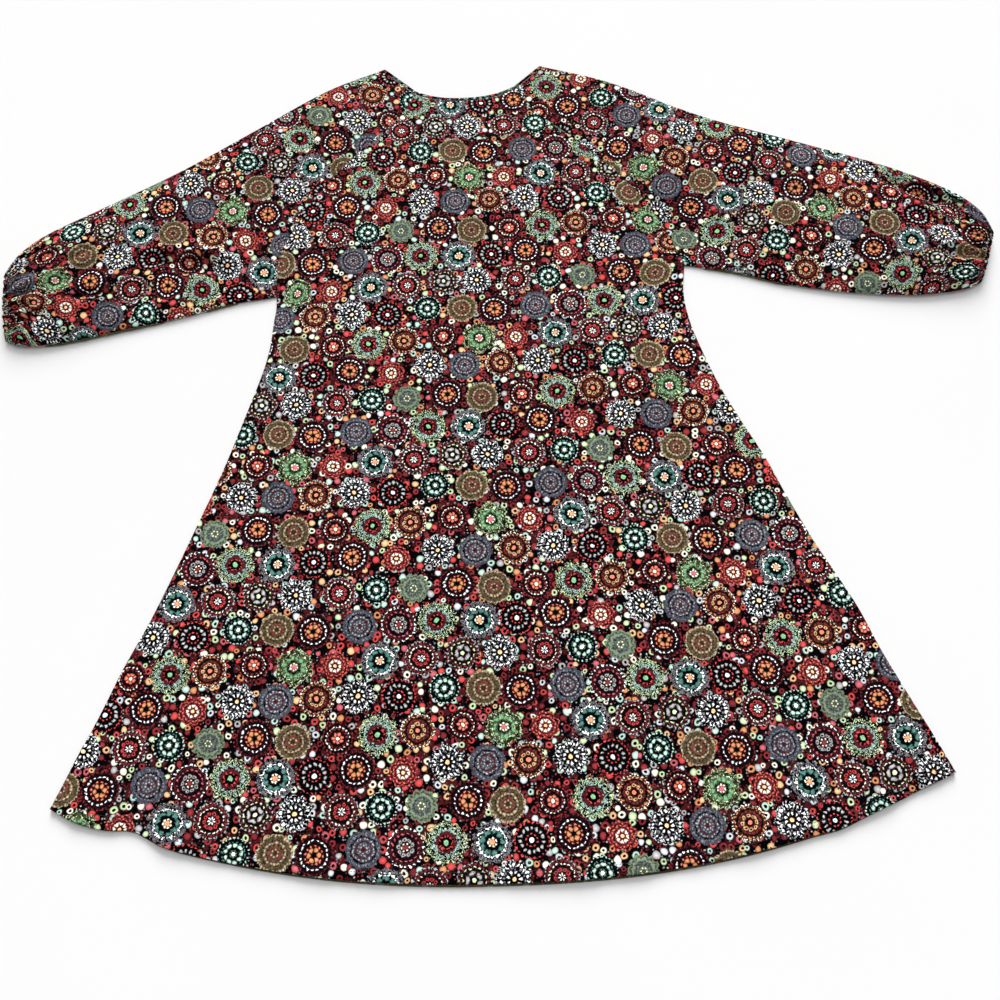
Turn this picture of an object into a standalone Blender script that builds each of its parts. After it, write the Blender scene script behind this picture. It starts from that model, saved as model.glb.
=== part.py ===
"""Knee-length abaya dress, laid flat on a surface with its back uppermost.

Metres, +Z up off the surface, +Y from the hem towards the neck, X = 0 down the
centre line. Y = 0 is the line between the underarms and Z = 0 is the underside
of the front panel, which lies on the surface. The wearer's left is at -X.

The cloth is cut in a front, a back and two raglan sleeves. Elastic casings
gather the sleeve ends and a narrow binding finishes the neck.
"""

import math
from collections import namedtuple

import bmesh
import bpy

# Cloth
WALL = 0.0013             # one layer of cloth
SEAM_GAP = 0.0003         # between two pieces at a seam, and between two layers
HEM_TURN = 0.015          # depth of the turned hem
HEM_STEP = 0.002          # over which it thins to plain cloth
HEM_EXTRA = 0.0005        # what the turned hem adds to the wall
CASING_WALL = 0.0018      # turned sleeve end with its elastic
BACK_LEVEL = WALL + SEAM_GAP   # underside of the back panel, above the surface

# Body
HEM_Y = -0.600            # hem corners, mean of left and right
HEM_DIP = 0.091           # hem centre below its corners
HEM_POWER = 2.3           # how square the hem's curve is
HEM_LEAN = 0.029          # the hem lies turned a little: drop per metre towards +X
FRONT_HEM_DROP = 0.003    # the front panel shows this much below the back one
HEM_WAVE_HEIGHT = 0.060   # the hem's waves fade out this far up
BACK_NECK_DIP = 0.0143
BACK_NECK_POWER = 2.4
FRONT_NECK_DIP = 0.032
FRONT_NECK_POWER = 2.2
BINDING_WIDTH = 0.005
BINDING_GAP = 0.0007      # between the binding and the neck edge it finishes

# Mesh fineness
BACK_COLUMNS = 20
FRONT_COLUMNS = 12
SIDE_ROWS = 13
RAGLAN_ROWS = 14
RAGLAN_SPLITS = 2         # sleeve points for each raglan row of the back panel
NECK_STEPS_TOP = 8        # sleeve points along the back neck seam
NECK_STEPS_UNDER = 4
SLEEVE_STATIONS = [0.0, 0.04, 0.10, 0.17, 0.25, 0.34, 0.43, 0.52, 0.61,
                   0.69, 0.76, 0.82, 0.87, 0.915, 0.95, 0.973]
CASING_STATIONS = [0.975, 0.988, 1.0]
EDGE_CROWDING = 0.4       # how much closer together a sleeve's points are near its edges

# Gathers at the sleeve ends
GATHERS = 9               # waves on the upper side of one sleeve
GATHER_HEIGHT = 0.0012
GATHER_START = 0.80       # share of the sleeve's length where they begin
GATHER_FULL = 0.96        # and where they reach their full height
GATHER_FADE = 0.12        # share of the breadth over which they fade at the edges

EdgePoint = namedtuple("EdgePoint", "x y")
SleeveRow = namedtuple("SleeveRow", "along fold_x fold_y under_x under_y height edge power")
Crease = namedtuple("Crease", "side along across turn length width depth")
Swell = namedtuple("Swell", "x y reach_x reach_y height")
HemWave = namedtuple("HemWave", "x reach drop")

# Right-hand edges, from the underarm down and from the underarm up.
SIDE_SEAM = [
    EdgePoint(0.251, 0.000),
    EdgePoint(0.249, -0.030),
    EdgePoint(0.256, -0.085),
    EdgePoint(0.285, -0.182),
    EdgePoint(0.341, -0.318),
    EdgePoint(0.401, -0.455),
    EdgePoint(0.466, HEM_Y),
]
BACK_RAGLAN = [
    EdgePoint(0.251, 0.000),
    EdgePoint(0.240, 0.055),
    EdgePoint(0.205, 0.124),
    EdgePoint(0.132, 0.208),
    EdgePoint(0.085, 0.254),
    EdgePoint(0.066, 0.286),
]
FRONT_RAGLAN = [
    EdgePoint(0.251, 0.000),
    EdgePoint(0.240, 0.055),
    EdgePoint(0.205, 0.118),
    EdgePoint(0.138, 0.192),
    EdgePoint(0.094, 0.232),
    EdgePoint(0.076, 0.265),
]
SHOULDER = EdgePoint(0.1095, 0.3242)   # where the neck seam crosses the sleeve's upper fold
NECK_CORNER = EdgePoint(0.105, 0.326)  # where the neck edge crosses it

# Where the hem runs below its even curve (or above it, below zero).
HEM_WAVES = [
    HemWave(-0.446, 0.028, 0.011),
    HemWave(-0.388, 0.020, -0.012),
    HemWave(-0.352, 0.027, 0.009),
    HemWave(0.335, 0.020, 0.0025),
]

# Sleeves as they lie: "fold" is the upper edge in plan, "under" the edge with
# the underarm seam. Height is the puff, edge the height of the two edges, and
# power how square the upper side is in section. X counts outwards.
SLEEVES = {
    "left": [
        SleeveRow(0.00, 0.1095, 0.3242, 0.251, 0.000, 0.0029, 0.00145, 14.0),
        SleeveRow(0.15, 0.182, 0.297, 0.299, -0.013, 0.0060, 0.0024, 6.0),
        SleeveRow(0.35, 0.276, 0.238, 0.363, -0.029, 0.0100, 0.0036, 3.4),
        SleeveRow(0.55, 0.369, 0.180, 0.427, -0.043, 0.0130, 0.0048, 2.8),
        SleeveRow(0.75, 0.467, 0.128, 0.491, -0.057, 0.0170, 0.0060, 2.5),
        SleeveRow(0.88, 0.529, 0.095, 0.533, -0.060, 0.0190, 0.0066, 2.4),
        SleeveRow(0.95, 0.560, 0.070, 0.556, -0.056, 0.0170, 0.0060, 2.4),
        SleeveRow(1.00, 0.577, 0.046, 0.571, -0.047, 0.0125, 0.0050, 2.5),
    ],
    "right": [
        SleeveRow(0.00, 0.1095, 0.3242, 0.251, 0.000, 0.0029, 0.00145, 14.0),
        SleeveRow(0.15, 0.192, 0.288, 0.306, -0.005, 0.0060, 0.0024, 6.0),
        SleeveRow(0.35, 0.303, 0.228, 0.378, -0.028, 0.0100, 0.0036, 3.4),
        SleeveRow(0.55, 0.418, 0.179, 0.451, -0.044, 0.0130, 0.0048, 2.8),
        SleeveRow(0.75, 0.533, 0.130, 0.525, -0.053, 0.0170, 0.0060, 2.5),
        SleeveRow(0.88, 0.604, 0.090, 0.573, -0.052, 0.0190, 0.0066, 2.4),
        SleeveRow(0.95, 0.635, 0.060, 0.599, -0.048, 0.0170, 0.0060, 2.4),
        SleeveRow(1.00, 0.646, 0.031, 0.616, -0.041, 0.0125, 0.0050, 2.5),
    ],
}
UNDER_FLAT = 0.84         # share of the sleeve's breadth that lies flat on the surface
EDGE_HOLD = 0.10          # share of the breadth over which folds fade at the edges
ARMHOLE_HOLD = 0.12       # share of the length over which they fade at the armhole
ARMHOLE_FADE = 2.5        # how fast the armhole's curve gives way to a straight section
LAYER_REST = 0.00015      # half the least room between the sleeve's two layers

# The largest folds in the sleeves' upper side: soft troughs, placed by shares of
# the sleeve's length and breadth (0 at the underarm edge), turned in degrees.
# Length and width are shares of the sleeve's length.
CREASES = [
    Crease("left", 0.13, 0.13, 12, 0.10, 0.031, 0.0022),
    Crease("left", 0.52, 0.16, 4, 0.13, 0.035, 0.0040),
    Crease("left", 0.80, 0.47, -8, 0.09, 0.029, 0.0050),
    Crease("left", 0.90, 0.22, 6, 0.07, 0.024, 0.0045),
    Crease("right", 0.11, 0.10, 14, 0.09, 0.029, 0.0020),
    Crease("right", 0.84, 0.60, -14, 0.10, 0.031, 0.0055),
    Crease("right", 0.90, 0.33, 4, 0.07, 0.024, 0.0040),
    Crease("right", 0.55, 0.55, -6, 0.12, 0.040, 0.0025),
]
BREADTH_RATIO = 0.45      # a sleeve's breadth as a share of its length, for the creases

# Soft swells and the hem's small waves in the back panel, over the front one.
SWELLS = [
    Swell(-0.02, 0.120, 0.110, 0.090, 0.0018),
    Swell(0.06, -0.120, 0.120, 0.100, 0.0022),
    Swell(-0.10, -0.330, 0.140, 0.110, 0.0024),
    Swell(0.16, -0.470, 0.130, 0.100, 0.0022),
    Swell(-0.428, -0.585, 0.026, 0.034, 0.0060),
    Swell(-0.340, -0.640, 0.026, 0.034, 0.0030),
    Swell(0.385, -0.630, 0.024, 0.030, 0.0040),
    Swell(-0.170, -0.675, 0.050, 0.040, 0.0022),
    Swell(0.060, -0.690, 0.060, 0.040, 0.0020),
    Swell(0.250, -0.665, 0.040, 0.040, 0.0022),
]

CLOTH_COLOUR = (0.16, 0.065, 0.06, 1.0)
BINDING_COLOUR = (0.10, 0.035, 0.04, 1.0)
CASING_COLOUR = (0.13, 0.05, 0.05, 1.0)


# Curves

def smooth_value(stations, values, at):
    """Cubic through the values at the stations, each slope taken from its two neighbours."""
    last = len(stations) - 1
    slopes = []
    for i in range(last + 1):
        before = max(i - 1, 0)
        after = min(i + 1, last)
        slopes.append((values[after] - values[before]) / (stations[after] - stations[before]))
    k = 0
    while k < last - 1 and at > stations[k + 1]:
        k += 1
    span = stations[k + 1] - stations[k]
    u = (at - stations[k]) / span
    start = values[k] * (1 + 2 * u) * (1 - u) ** 2 + slopes[k] * span * u * (1 - u) ** 2
    end = values[k + 1] * (3 - 2 * u) * u ** 2 - slopes[k + 1] * span * (1 - u) * u ** 2
    return start + end


def smooth_path(points, steps):
    """Points evenly spaced along a smooth curve through the given ones."""
    along = [0.0]
    for a, b in zip(points, points[1:]):
        along.append(along[-1] + math.dist(a, b))
    xs = [p.x for p in points]
    ys = [p.y for p in points]
    path = []
    for i in range(steps + 1):
        at = along[-1] * i / steps
        path.append(EdgePoint(smooth_value(along, xs, at), smooth_value(along, ys, at)))
    return path


def split_path(path, splits):
    """The same polyline with each stretch cut into equal parts."""
    result = [path[0]]
    for a, b in zip(path, path[1:]):
        for i in range(1, splits + 1):
            share = i / splits
            result.append(EdgePoint(a.x + (b.x - a.x) * share, a.y + (b.y - a.y) * share))
    return result


def moved_out(path, distance):
    """The polyline moved sideways, to the right of its direction."""
    result = []
    for i, point in enumerate(path):
        a = path[max(i - 1, 0)]
        b = path[min(i + 1, len(path) - 1)]
        length = math.dist(a, b)
        result.append(EdgePoint(point.x + (b.y - a.y) / length * distance,
                                point.y - (b.x - a.x) / length * distance))
    return result


def ease(share):
    """0 to 1 with flat ends."""
    share = min(max(share, 0.0), 1.0)
    return share * share * (3 - 2 * share)


# Meshes

def closed_mesh(name, rings, colour, roughness=0.9):
    """A closed shell from rings of points: each ring joins the next, and the last joins the first."""
    mesh = bpy.data.meshes.new(name)
    shape = bmesh.new()
    rows = [[shape.verts.new(p) for p in ring] for ring in rings]
    count = len(rows[0])
    for row, following in zip(rows, rows[1:] + rows[:1]):
        for i in range(count):
            j = (i + 1) % count
            shape.faces.new((row[i], row[j], following[j], following[i]))
    finish(shape, mesh, name, colour, roughness)


def closed_sheet(name, upper, lower, colour, roughness=0.9):
    """A closed sheet between two grids of points with the same rows and columns."""
    mesh = bpy.data.meshes.new(name)
    shape = bmesh.new()
    top = [[shape.verts.new(p) for p in row] for row in upper]
    under = [[shape.verts.new(p) for p in row] for row in lower]
    rows = len(top)
    columns = len(top[0])
    for i in range(rows - 1):
        for j in range(columns - 1):
            shape.faces.new((top[i][j], top[i][j + 1], top[i + 1][j + 1], top[i + 1][j]))
            shape.faces.new((under[i][j], under[i + 1][j], under[i + 1][j + 1], under[i][j + 1]))
    border = [(0, j) for j in range(columns)]
    border += [(i, columns - 1) for i in range(1, rows)]
    border += [(rows - 1, j) for j in range(columns - 2, -1, -1)]
    border += [(i, 0) for i in range(rows - 2, 0, -1)]
    for (i, j), (k, m) in zip(border, border[1:] + border[:1]):
        shape.faces.new((top[i][j], under[i][j], under[k][m], top[k][m]))
    finish(shape, mesh, name, colour, roughness)


def finish(shape, mesh, name, colour, roughness):
    """Face the shell outwards, give it its own material and put it in the scene."""
    bmesh.ops.recalc_face_normals(shape, faces=shape.faces)
    shape.to_mesh(mesh)
    shape.free()
    mesh.shade_smooth()
    mesh.set_sharp_from_angle(angle=math.radians(50))
    material = bpy.data.materials.new(name)
    material.use_nodes = True
    surface = material.node_tree.nodes["Principled BSDF"]
    surface.inputs["Base Color"].default_value = colour
    surface.inputs["Roughness"].default_value = roughness
    surface.inputs["Metallic"].default_value = 0.0
    mesh.materials.append(material)
    bpy.context.scene.collection.objects.link(bpy.data.objects.new(name, mesh))


# Body panels

def hem_wave(x):
    return sum(wave.drop * math.exp(-((x - wave.x) / wave.reach) ** 2) for wave in HEM_WAVES)


def panel_rows(raglan, columns, neck_dip, neck_power, hem_drop):
    """Rows of plan points for one panel, hem first, each row from -X to +X."""
    side = smooth_path(SIDE_SEAM, SIDE_ROWS)[::-1]
    upper = smooth_path(raglan, RAGLAN_ROWS)
    corner = side[0]
    slope = (side[1].x - corner.x) / (side[1].y - corner.y)
    turn = EdgePoint(corner.x + slope * HEM_TURN, corner.y + HEM_TURN)
    step = EdgePoint(turn.x + slope * HEM_STEP, turn.y + HEM_STEP)
    edges = [corner, turn, step] + side[1:-1] + upper
    rows = []
    for edge in edges:
        hem_share = 1 - ease((edge.y - corner.y) / -corner.y) if edge.y < 0 else 0.0
        neck_share = (max(edge.y, 0.0) / raglan[-1].y) ** 3
        wave_share = max(1 + (corner.y - edge.y) / HEM_WAVE_HEIGHT, 0.0)
        row = []
        for j in range(columns + 1):
            share = 2 * j / columns - 1
            x = edge.x * share
            hem = (HEM_DIP + hem_drop * hem_share) * (1 - abs(share) ** HEM_POWER) + HEM_LEAN * x
            neck = neck_dip * (1 - abs(share) ** neck_power)
            row.append(EdgePoint(x, edge.y - hem * hem_share - neck * neck_share - hem_wave(x) * wave_share))
        rows.append(row)
    return rows


def back_rows():
    return panel_rows(BACK_RAGLAN, BACK_COLUMNS, BACK_NECK_DIP, BACK_NECK_POWER, 0.0)


def front_rows():
    return panel_rows(FRONT_RAGLAN, FRONT_COLUMNS, FRONT_NECK_DIP, FRONT_NECK_POWER, FRONT_HEM_DROP)


def swell_height(x, y):
    total = 0.0
    for s in SWELLS:
        total += s.height * math.exp(-((x - s.x) / s.reach_x) ** 2 - ((y - s.y) / s.reach_y) ** 2)
    return total


def hem_thickness(row_index):
    """What the turned hem adds to the wall: two rows of it, then plain cloth."""
    return HEM_EXTRA if row_index < 2 else 0.0


def make_front_panel():
    rows = front_rows()
    upper = []
    lower = []
    for i, row in enumerate(rows):
        upper.append([(p.x, p.y, WALL + hem_thickness(i)) for p in row])
        lower.append([(p.x, p.y, 0.0) for p in row])
    closed_sheet("front_panel", upper, lower, CLOTH_COLOUR)


def make_back_panel():
    rows = back_rows()
    last = len(rows) - 1
    upper = []
    lower = []
    for i, row in enumerate(rows):
        top = []
        under = []
        near_hem = 1 - ease((i - 2) / 3)
        for j, p in enumerate(row):
            share = abs(2 * j / BACK_COLUMNS - 1)
            held = (1 - share ** 10) * (1 - ease((i - last + 3) / 3))
            level = BACK_LEVEL + swell_height(p.x, p.y) * held + HEM_EXTRA * near_hem
            top.append((p.x, p.y, level + WALL + hem_thickness(i)))
            under.append((p.x, p.y, level))
        upper.append(top)
        lower.append(under)
    closed_sheet("back_panel", upper, lower, CLOTH_COLOUR)


# Sleeves

def sleeve_row(side, along):
    """The sleeve's section at a share of its length, from the side's table."""
    table = SLEEVES[side]
    stations = [row.along for row in table]
    values = [smooth_value(stations, column, along) for column in zip(*table)]
    return SleeveRow(*values)


def breadth_shares(steps):
    """Places across the sleeve from edge to edge, closer together near the edges."""
    shares = []
    for k in range(steps + 1):
        even = k / steps
        rounded = (1 - math.cos(math.pi * even)) / 2
        shares.append(even + (rounded - even) * EDGE_CROWDING)
    return shares


def armhole_path(raglan, neck_end, splits, neck_steps):
    """Raglan seam from the underarm to the neck, then the neck seam to the shoulder."""
    seam = split_path(smooth_path(raglan, RAGLAN_ROWS), splits)
    seam = moved_out(seam, SEAM_GAP)
    neck = []
    for i in range(1, neck_steps + 1):
        share = i / neck_steps
        neck.append(EdgePoint(seam[-1].x + (neck_end.x - seam[-1].x) * share,
                              seam[-1].y + (neck_end.y - seam[-1].y) * share))
    return seam + neck


def crease_depth(side, along, across):
    """How far the troughs lower the sleeve's upper side at one place."""
    total = 0.0
    for c in CREASES:
        if c.side != side:
            continue
        run = along - c.along
        rise = (across - c.across) * BREADTH_RATIO
        turn = math.radians(c.turn)
        lengthwise = run * math.cos(turn) + rise * math.sin(turn)
        sideways = rise * math.cos(turn) - run * math.sin(turn)
        total += c.depth * math.exp(-(lengthwise / c.length) ** 2 - (sideways / c.width) ** 2)
    return total


def gather_height(along, across, wave):
    """The gathers' wave on the upper side, growing towards the casing."""
    grown = ease((along - GATHER_START) / (GATHER_FULL - GATHER_START))
    fade = ease(across / GATHER_FADE) * ease((1 - across) / GATHER_FADE)
    return GATHER_HEIGHT * grown * fade * math.cos(2 * math.pi * GATHERS * wave)


def path_at(shares, path, share):
    """The place on an armhole path at a share of the breadth."""
    k = 0
    while k < len(shares) - 2 and share > shares[k + 1]:
        k += 1
    part = (share - shares[k]) / (shares[k + 1] - shares[k])
    return EdgePoint(path[k].x + (path[k + 1].x - path[k].x) * part,
                     path[k].y + (path[k + 1].y - path[k].y) * part)


def sleeve_ring(side, along, wall, inner):
    """One closed ring of points round the sleeve: over the top, then back underneath."""
    row = sleeve_row(side, along)
    start = sleeve_row(side, 0.0)
    breadth = math.dist((row.fold_x, row.fold_y), (row.under_x, row.under_y))
    inset = wall / breadth if inner else 0.0
    lowered = wall if inner else 0.0
    keep = (1 - along) ** ARMHOLE_FADE

    def plan(share, shares, path):
        held = inset + share * (1 - 2 * inset)
        seam = path_at(shares, path, held)
        straight_x = start.under_x + (start.fold_x - start.under_x) * held
        straight_y = start.under_y + (start.fold_y - start.under_y) * held
        x = row.under_x + (row.fold_x - row.under_x) * held + (seam.x - straight_x) * keep
        y = row.under_y + (row.fold_y - row.under_y) * held + (seam.y - straight_y) * keep
        return x, y

    ring = []
    path = armhole_path(BACK_RAGLAN, SHOULDER, RAGLAN_SPLITS, NECK_STEPS_TOP)
    shares = breadth_shares(len(path) - 1)
    for k, share in enumerate(shares):
        x, y = plan(share, shares, path)
        shape = (1 - abs(2 * share - 1) ** row.power) ** (1 / row.power)
        rise = (row.height - row.edge - lowered) * shape
        fold = crease_depth(side, along, share) * ease(along / ARMHOLE_HOLD)
        held = ease(min(share, 1 - share) / EDGE_HOLD)
        rise += (gather_height(along, share, k / (len(shares) - 1)) - fold) * held
        ring.append((x, y, row.edge + max(rise, LAYER_REST * shape)))
    path = armhole_path(FRONT_RAGLAN, SHOULDER, 1, NECK_STEPS_UNDER)
    shares = breadth_shares(len(path) - 1)
    for share in shares[-2:0:-1]:
        x, y = plan(share, shares, path)
        bend = max((abs(2 * share - 1) - UNDER_FLAT) / (1 - UNDER_FLAT), 0.0)
        ring.append((x, y, row.edge - (row.edge - lowered) * math.sqrt(1 - bend * bend)))
    if side == "left":
        ring = [(-x, y, z) for x, y, z in ring]
    return ring


def make_tube(name, side, stations, wall, colour):
    outer = [sleeve_ring(side, along, wall, False) for along in stations]
    inner = [sleeve_ring(side, along, wall, True) for along in stations]
    closed_mesh(name, outer + inner[::-1], colour)


# Neck binding

def shoulder_points(distance, inner):
    """The binding round the right shoulder: the sleeve's own neck points, moved to the neck."""
    first = RAGLAN_ROWS * RAGLAN_SPLITS
    ring = sleeve_ring("right", 0.0, WALL, inner)
    share = distance / math.dist(SHOULDER, NECK_CORNER)
    shift_x = (NECK_CORNER.x - SHOULDER.x) * share
    shift_y = (NECK_CORNER.y - SHOULDER.y) * share
    points = ring[first + 1:first + NECK_STEPS_TOP + NECK_STEPS_UNDER]
    return [(x + shift_x, y + shift_y, z) for x, y, z in points]


def make_neck_binding():
    """A narrow strip round the neck: over the back, round the shoulders and under the front."""
    back = back_rows()[-1]
    front = front_rows()[-1]
    rings = []
    for distance, inner in ((BINDING_GAP, False), (BINDING_WIDTH, False),
                            (BINDING_WIDTH, True), (BINDING_GAP, True)):
        over = [(p.x, p.y, BACK_LEVEL if inner else BACK_LEVEL + WALL)
                for p in moved_out(back, -distance)]
        below = [(p.x, p.y, WALL if inner else 0.0) for p in moved_out(front, -distance)]
        right = shoulder_points(distance, inner)
        left = [(-x, y, z) for x, y, z in right[::-1]]
        rings.append(over + right + below[::-1] + left)
    closed_mesh("neck_binding", rings, BINDING_COLOUR)


def main():
    for item in list(bpy.data.objects):
        bpy.data.objects.remove(item, do_unlink=True)
    make_front_panel()
    make_back_panel()
    for side in ("left", "right"):
        make_tube("sleeve_" + side, side, SLEEVE_STATIONS, WALL, CLOTH_COLOUR)
        make_tube("cuff_" + side, side, CASING_STATIONS, CASING_WALL, CASING_COLOUR)
    make_neck_binding()


main()
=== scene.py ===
# %% [markdown]
# # A printed abaya dress, laid flat
# The dress is cut from one light printed jersey: a back, a front, two raglan sleeves gathered on
# elastic, and a narrow neck binding. It lies on its front on a white table, and the camera looks
# down at its back. The solids of the frame already have the right outline and the largest folds.
# This script makes the cloth itself: finer shells on the same curves, with rounded edges, puckers
# and stitches, and a print of small bead rosettes that is worked out by the shader.

# %% Load the frame
import math
import random
from collections import namedtuple

import bmesh
import bpy
import numpy as np
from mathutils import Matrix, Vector
from mathutils.bvhtree import BVHTree


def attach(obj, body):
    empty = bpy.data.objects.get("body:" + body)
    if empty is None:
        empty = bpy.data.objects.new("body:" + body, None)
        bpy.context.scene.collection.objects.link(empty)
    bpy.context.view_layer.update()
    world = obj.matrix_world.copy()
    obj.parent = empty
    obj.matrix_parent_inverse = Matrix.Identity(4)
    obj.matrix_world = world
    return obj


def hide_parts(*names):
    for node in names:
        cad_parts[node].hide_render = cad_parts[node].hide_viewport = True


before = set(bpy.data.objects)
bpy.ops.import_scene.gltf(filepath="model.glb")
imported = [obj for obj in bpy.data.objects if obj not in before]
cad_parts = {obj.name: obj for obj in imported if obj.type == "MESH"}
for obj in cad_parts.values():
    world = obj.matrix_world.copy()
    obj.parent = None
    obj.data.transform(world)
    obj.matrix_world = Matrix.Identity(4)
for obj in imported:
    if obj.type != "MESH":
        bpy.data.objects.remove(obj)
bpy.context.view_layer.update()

# %% [markdown]
# ## Cloth and cut
# All sizes are in metres. X = 0 is the centre line, Y = 0 the line between the underarms, and
# Z = 0 the table. A real jersey is half a millimetre thick. The frame gives each layer 1.3 mm, so
# that it can be a solid, and the shells here keep that wall, so that nothing floats or sinks.
# The tables below are the pattern: the same few points that the frame's panels are drawn through.

# %% Sizes of the cut
WALL = 0.0013
SEAM_GAP = 0.0003
HEM_TURN = 0.015                # depth of the turned-up hem
HEM_STEP = 0.002                # over which the hem thins to one layer
HEM_EXTRA = 0.0005
CASING_WALL = 0.0018
BACK_LEVEL = WALL + SEAM_GAP    # the back lies on the front

HEM_Y = -0.600
HEM_DIP = 0.091                 # the middle of the hem lies this much below its corners
HEM_POWER = 2.3
HEM_LEAN = 0.029                # the dress lies a little turned, so one corner is lower
FRONT_HEM_DROP = 0.0024         # the front is this much longer, and shows below the back
HEM_WAVE_HEIGHT = 0.060         # how far up the cloth the hem's waves are felt
BACK_NECK = (0.0143, 2.4)       # dip and power of the back neck's curve
FRONT_NECK = (0.032, 2.2)
BINDING_WIDTH = 0.005
BINDING_GAP = 0.0007

SIDE_SEAM = [(0.251, 0.000), (0.249, -0.030), (0.256, -0.085), (0.285, -0.182),
             (0.341, -0.318), (0.401, -0.455), (0.466, HEM_Y)]
BACK_RAGLAN = [(0.251, 0.000), (0.240, 0.055), (0.205, 0.124), (0.132, 0.208),
               (0.085, 0.254), (0.066, 0.286)]
FRONT_RAGLAN = [(0.251, 0.000), (0.240, 0.055), (0.205, 0.118), (0.138, 0.192),
                (0.094, 0.232), (0.076, 0.265)]
SHOULDER = {"left": (0.1095, 0.3284), "right": (0.1065, 0.3212)}
NECK_CORNER = {"left": (0.105, 0.3302), "right": (0.102, 0.323)}

HEM_WAVES = [             # where across the hem, reach to each side, drop
    (-0.444, 0.035, 0.0068),
    (-0.384, 0.020, -0.0067),
    (-0.360, 0.057, 0.0013),
    (0.335, 0.020, 0.0025),
    (0.420, 0.045, -0.0018),
]
# How far the two side edges lie from the pattern, to the right: height of the mark, distance.
EDGE_SHIFTS = {
    "left": [(-0.600, -0.0046), (-0.560, -0.0032), (-0.520, -0.0006), (-0.460, -0.0008),
             (-0.410, 0.0022), (-0.355, 0.0022), (-0.240, 0.0010), (-0.165, -0.0006),
             (-0.090, 0.0022), (0.000, 0.0), (0.400, 0.0)],
    "right": [(-0.600, -0.0030), (-0.560, -0.0008), (-0.516, 0.0004), (-0.470, 0.0018),
              (-0.427, 0.0058), (-0.397, 0.0056), (-0.350, 0.0034), (-0.290, 0.0044),
              (-0.248, 0.0068), (-0.205, 0.0044), (-0.150, 0.0014), (0.000, 0.0), (0.400, 0.0)],
}

# Sections of a sleeve: share of its length, the folded edge, the underarm seam, the height of the
# puff and of the edge, and how boxy the section is.
SleeveRow = namedtuple("SleeveRow", "fold_x fold_y under_x under_y height edge power")
SLEEVES = {
    "left": [
        (0.00, 0.1095, 0.3284, 0.251, 0.000, 0.0029, 0.00145, 14.0),
        (0.15, 0.182, 0.297, 0.299, -0.013, 0.0060, 0.0024, 6.0),
        (0.35, 0.276, 0.238, 0.363, -0.029, 0.0100, 0.0036, 3.4),
        (0.55, 0.369, 0.180, 0.427, -0.0405, 0.0130, 0.0048, 2.8),
        (0.75, 0.467, 0.128, 0.491, -0.0525, 0.0170, 0.0060, 2.5),
        (0.88, 0.529, 0.095, 0.532, -0.0565, 0.0190, 0.0066, 2.4),
        (0.95, 0.560, 0.070, 0.5535, -0.0545, 0.0170, 0.0060, 2.4),
        (1.00, 0.576, 0.046, 0.5680, -0.0480, 0.0125, 0.0050, 2.5),
    ],
    "right": [
        (0.00, 0.1065, 0.3212, 0.251, 0.000, 0.0029, 0.00145, 14.0),
        (0.15, 0.1915, 0.2885, 0.306, -0.005, 0.0060, 0.0024, 6.0),
        (0.35, 0.303, 0.2270, 0.378, -0.028, 0.0100, 0.0036, 3.4),
        (0.55, 0.418, 0.179, 0.451, -0.044, 0.0130, 0.0048, 2.8),
        (0.75, 0.533, 0.130, 0.525, -0.053, 0.0170, 0.0060, 2.5),
        (0.88, 0.604, 0.0885, 0.573, -0.052, 0.0190, 0.0066, 2.4),
        (0.95, 0.6345, 0.058, 0.599, -0.048, 0.0170, 0.0060, 2.4),
        (1.00, 0.645, 0.029, 0.616, -0.041, 0.0125, 0.0050, 2.5),
    ],
}
LOWEST_EDGE = 0.00145     # a sleeve's edge where it meets the body, half way up both layers
UNDER_FLAT = 0.84         # share of the underside that rests flat
EDGE_HOLD = 0.10          # folds fade out over these shares, near the edges and the armhole
ARMHOLE_HOLD = 0.12
FINE_HOLD = 0.05          # and the finer folds at the armhole
ARMHOLE_FADE = 2.5        # how fast the armhole's curve straightens along the sleeve
EDGE_CROWDING = 0.4       # 0 spaces the points evenly, 1 crowds them most at the edges
LAYER_REST = 0.00015
BREADTH_RATIO = 0.45      # a sleeve's breadth over its length
SLEEVE_LENGTH = 0.42
ARMHOLE_LENGTH = 0.34     # of the seam, for its puckers
UNDER_SINK = 0.45         # how much lower the seam edge lies than the folded edge
UNDER_SLOPE = 0.34        # how much gentler the cloth rises from the seam edge
SLOPE_REACH = 0.13        # share of the breadth that this slope takes

# %% [markdown]
# ## Curves
# A pattern is drawn with a French curve through a few marks. A cubic whose slope at each mark
# comes from the two marks beside it does the same, and it never needs handles placed by hand.

# %% Curve tools


def ease(share):
    """0 to 1 with flat ends."""
    share = np.clip(share, 0.0, 1.0)
    return share * share * (3 - 2 * share)


def smooth_values(stations, values, at):
    """Cubic through the values at the stations, each slope taken from its two neighbours."""
    stations = np.array(stations, float)
    values = np.array(values, float)
    index = np.arange(len(stations))
    before = np.maximum(index - 1, 0)
    after = np.minimum(index + 1, len(stations) - 1)
    slopes = (values[after] - values[before]) / (stations[after] - stations[before])
    k = np.clip(np.searchsorted(stations, at) - 1, 0, len(stations) - 2)
    span = stations[k + 1] - stations[k]
    u = (at - stations[k]) / span
    start = values[k] * (1 + 2 * u) * (1 - u) ** 2 + slopes[k] * span * u * (1 - u) ** 2
    end = values[k + 1] * (3 - 2 * u) * u ** 2 - slopes[k + 1] * span * (1 - u) * u ** 2
    return start + end


def lengths_along(points):
    """Distance from the first point to each one, along straight steps."""
    steps = np.linalg.norm(np.diff(points, axis=0), axis=1)
    return np.concatenate([[0.0], np.cumsum(steps)])


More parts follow.
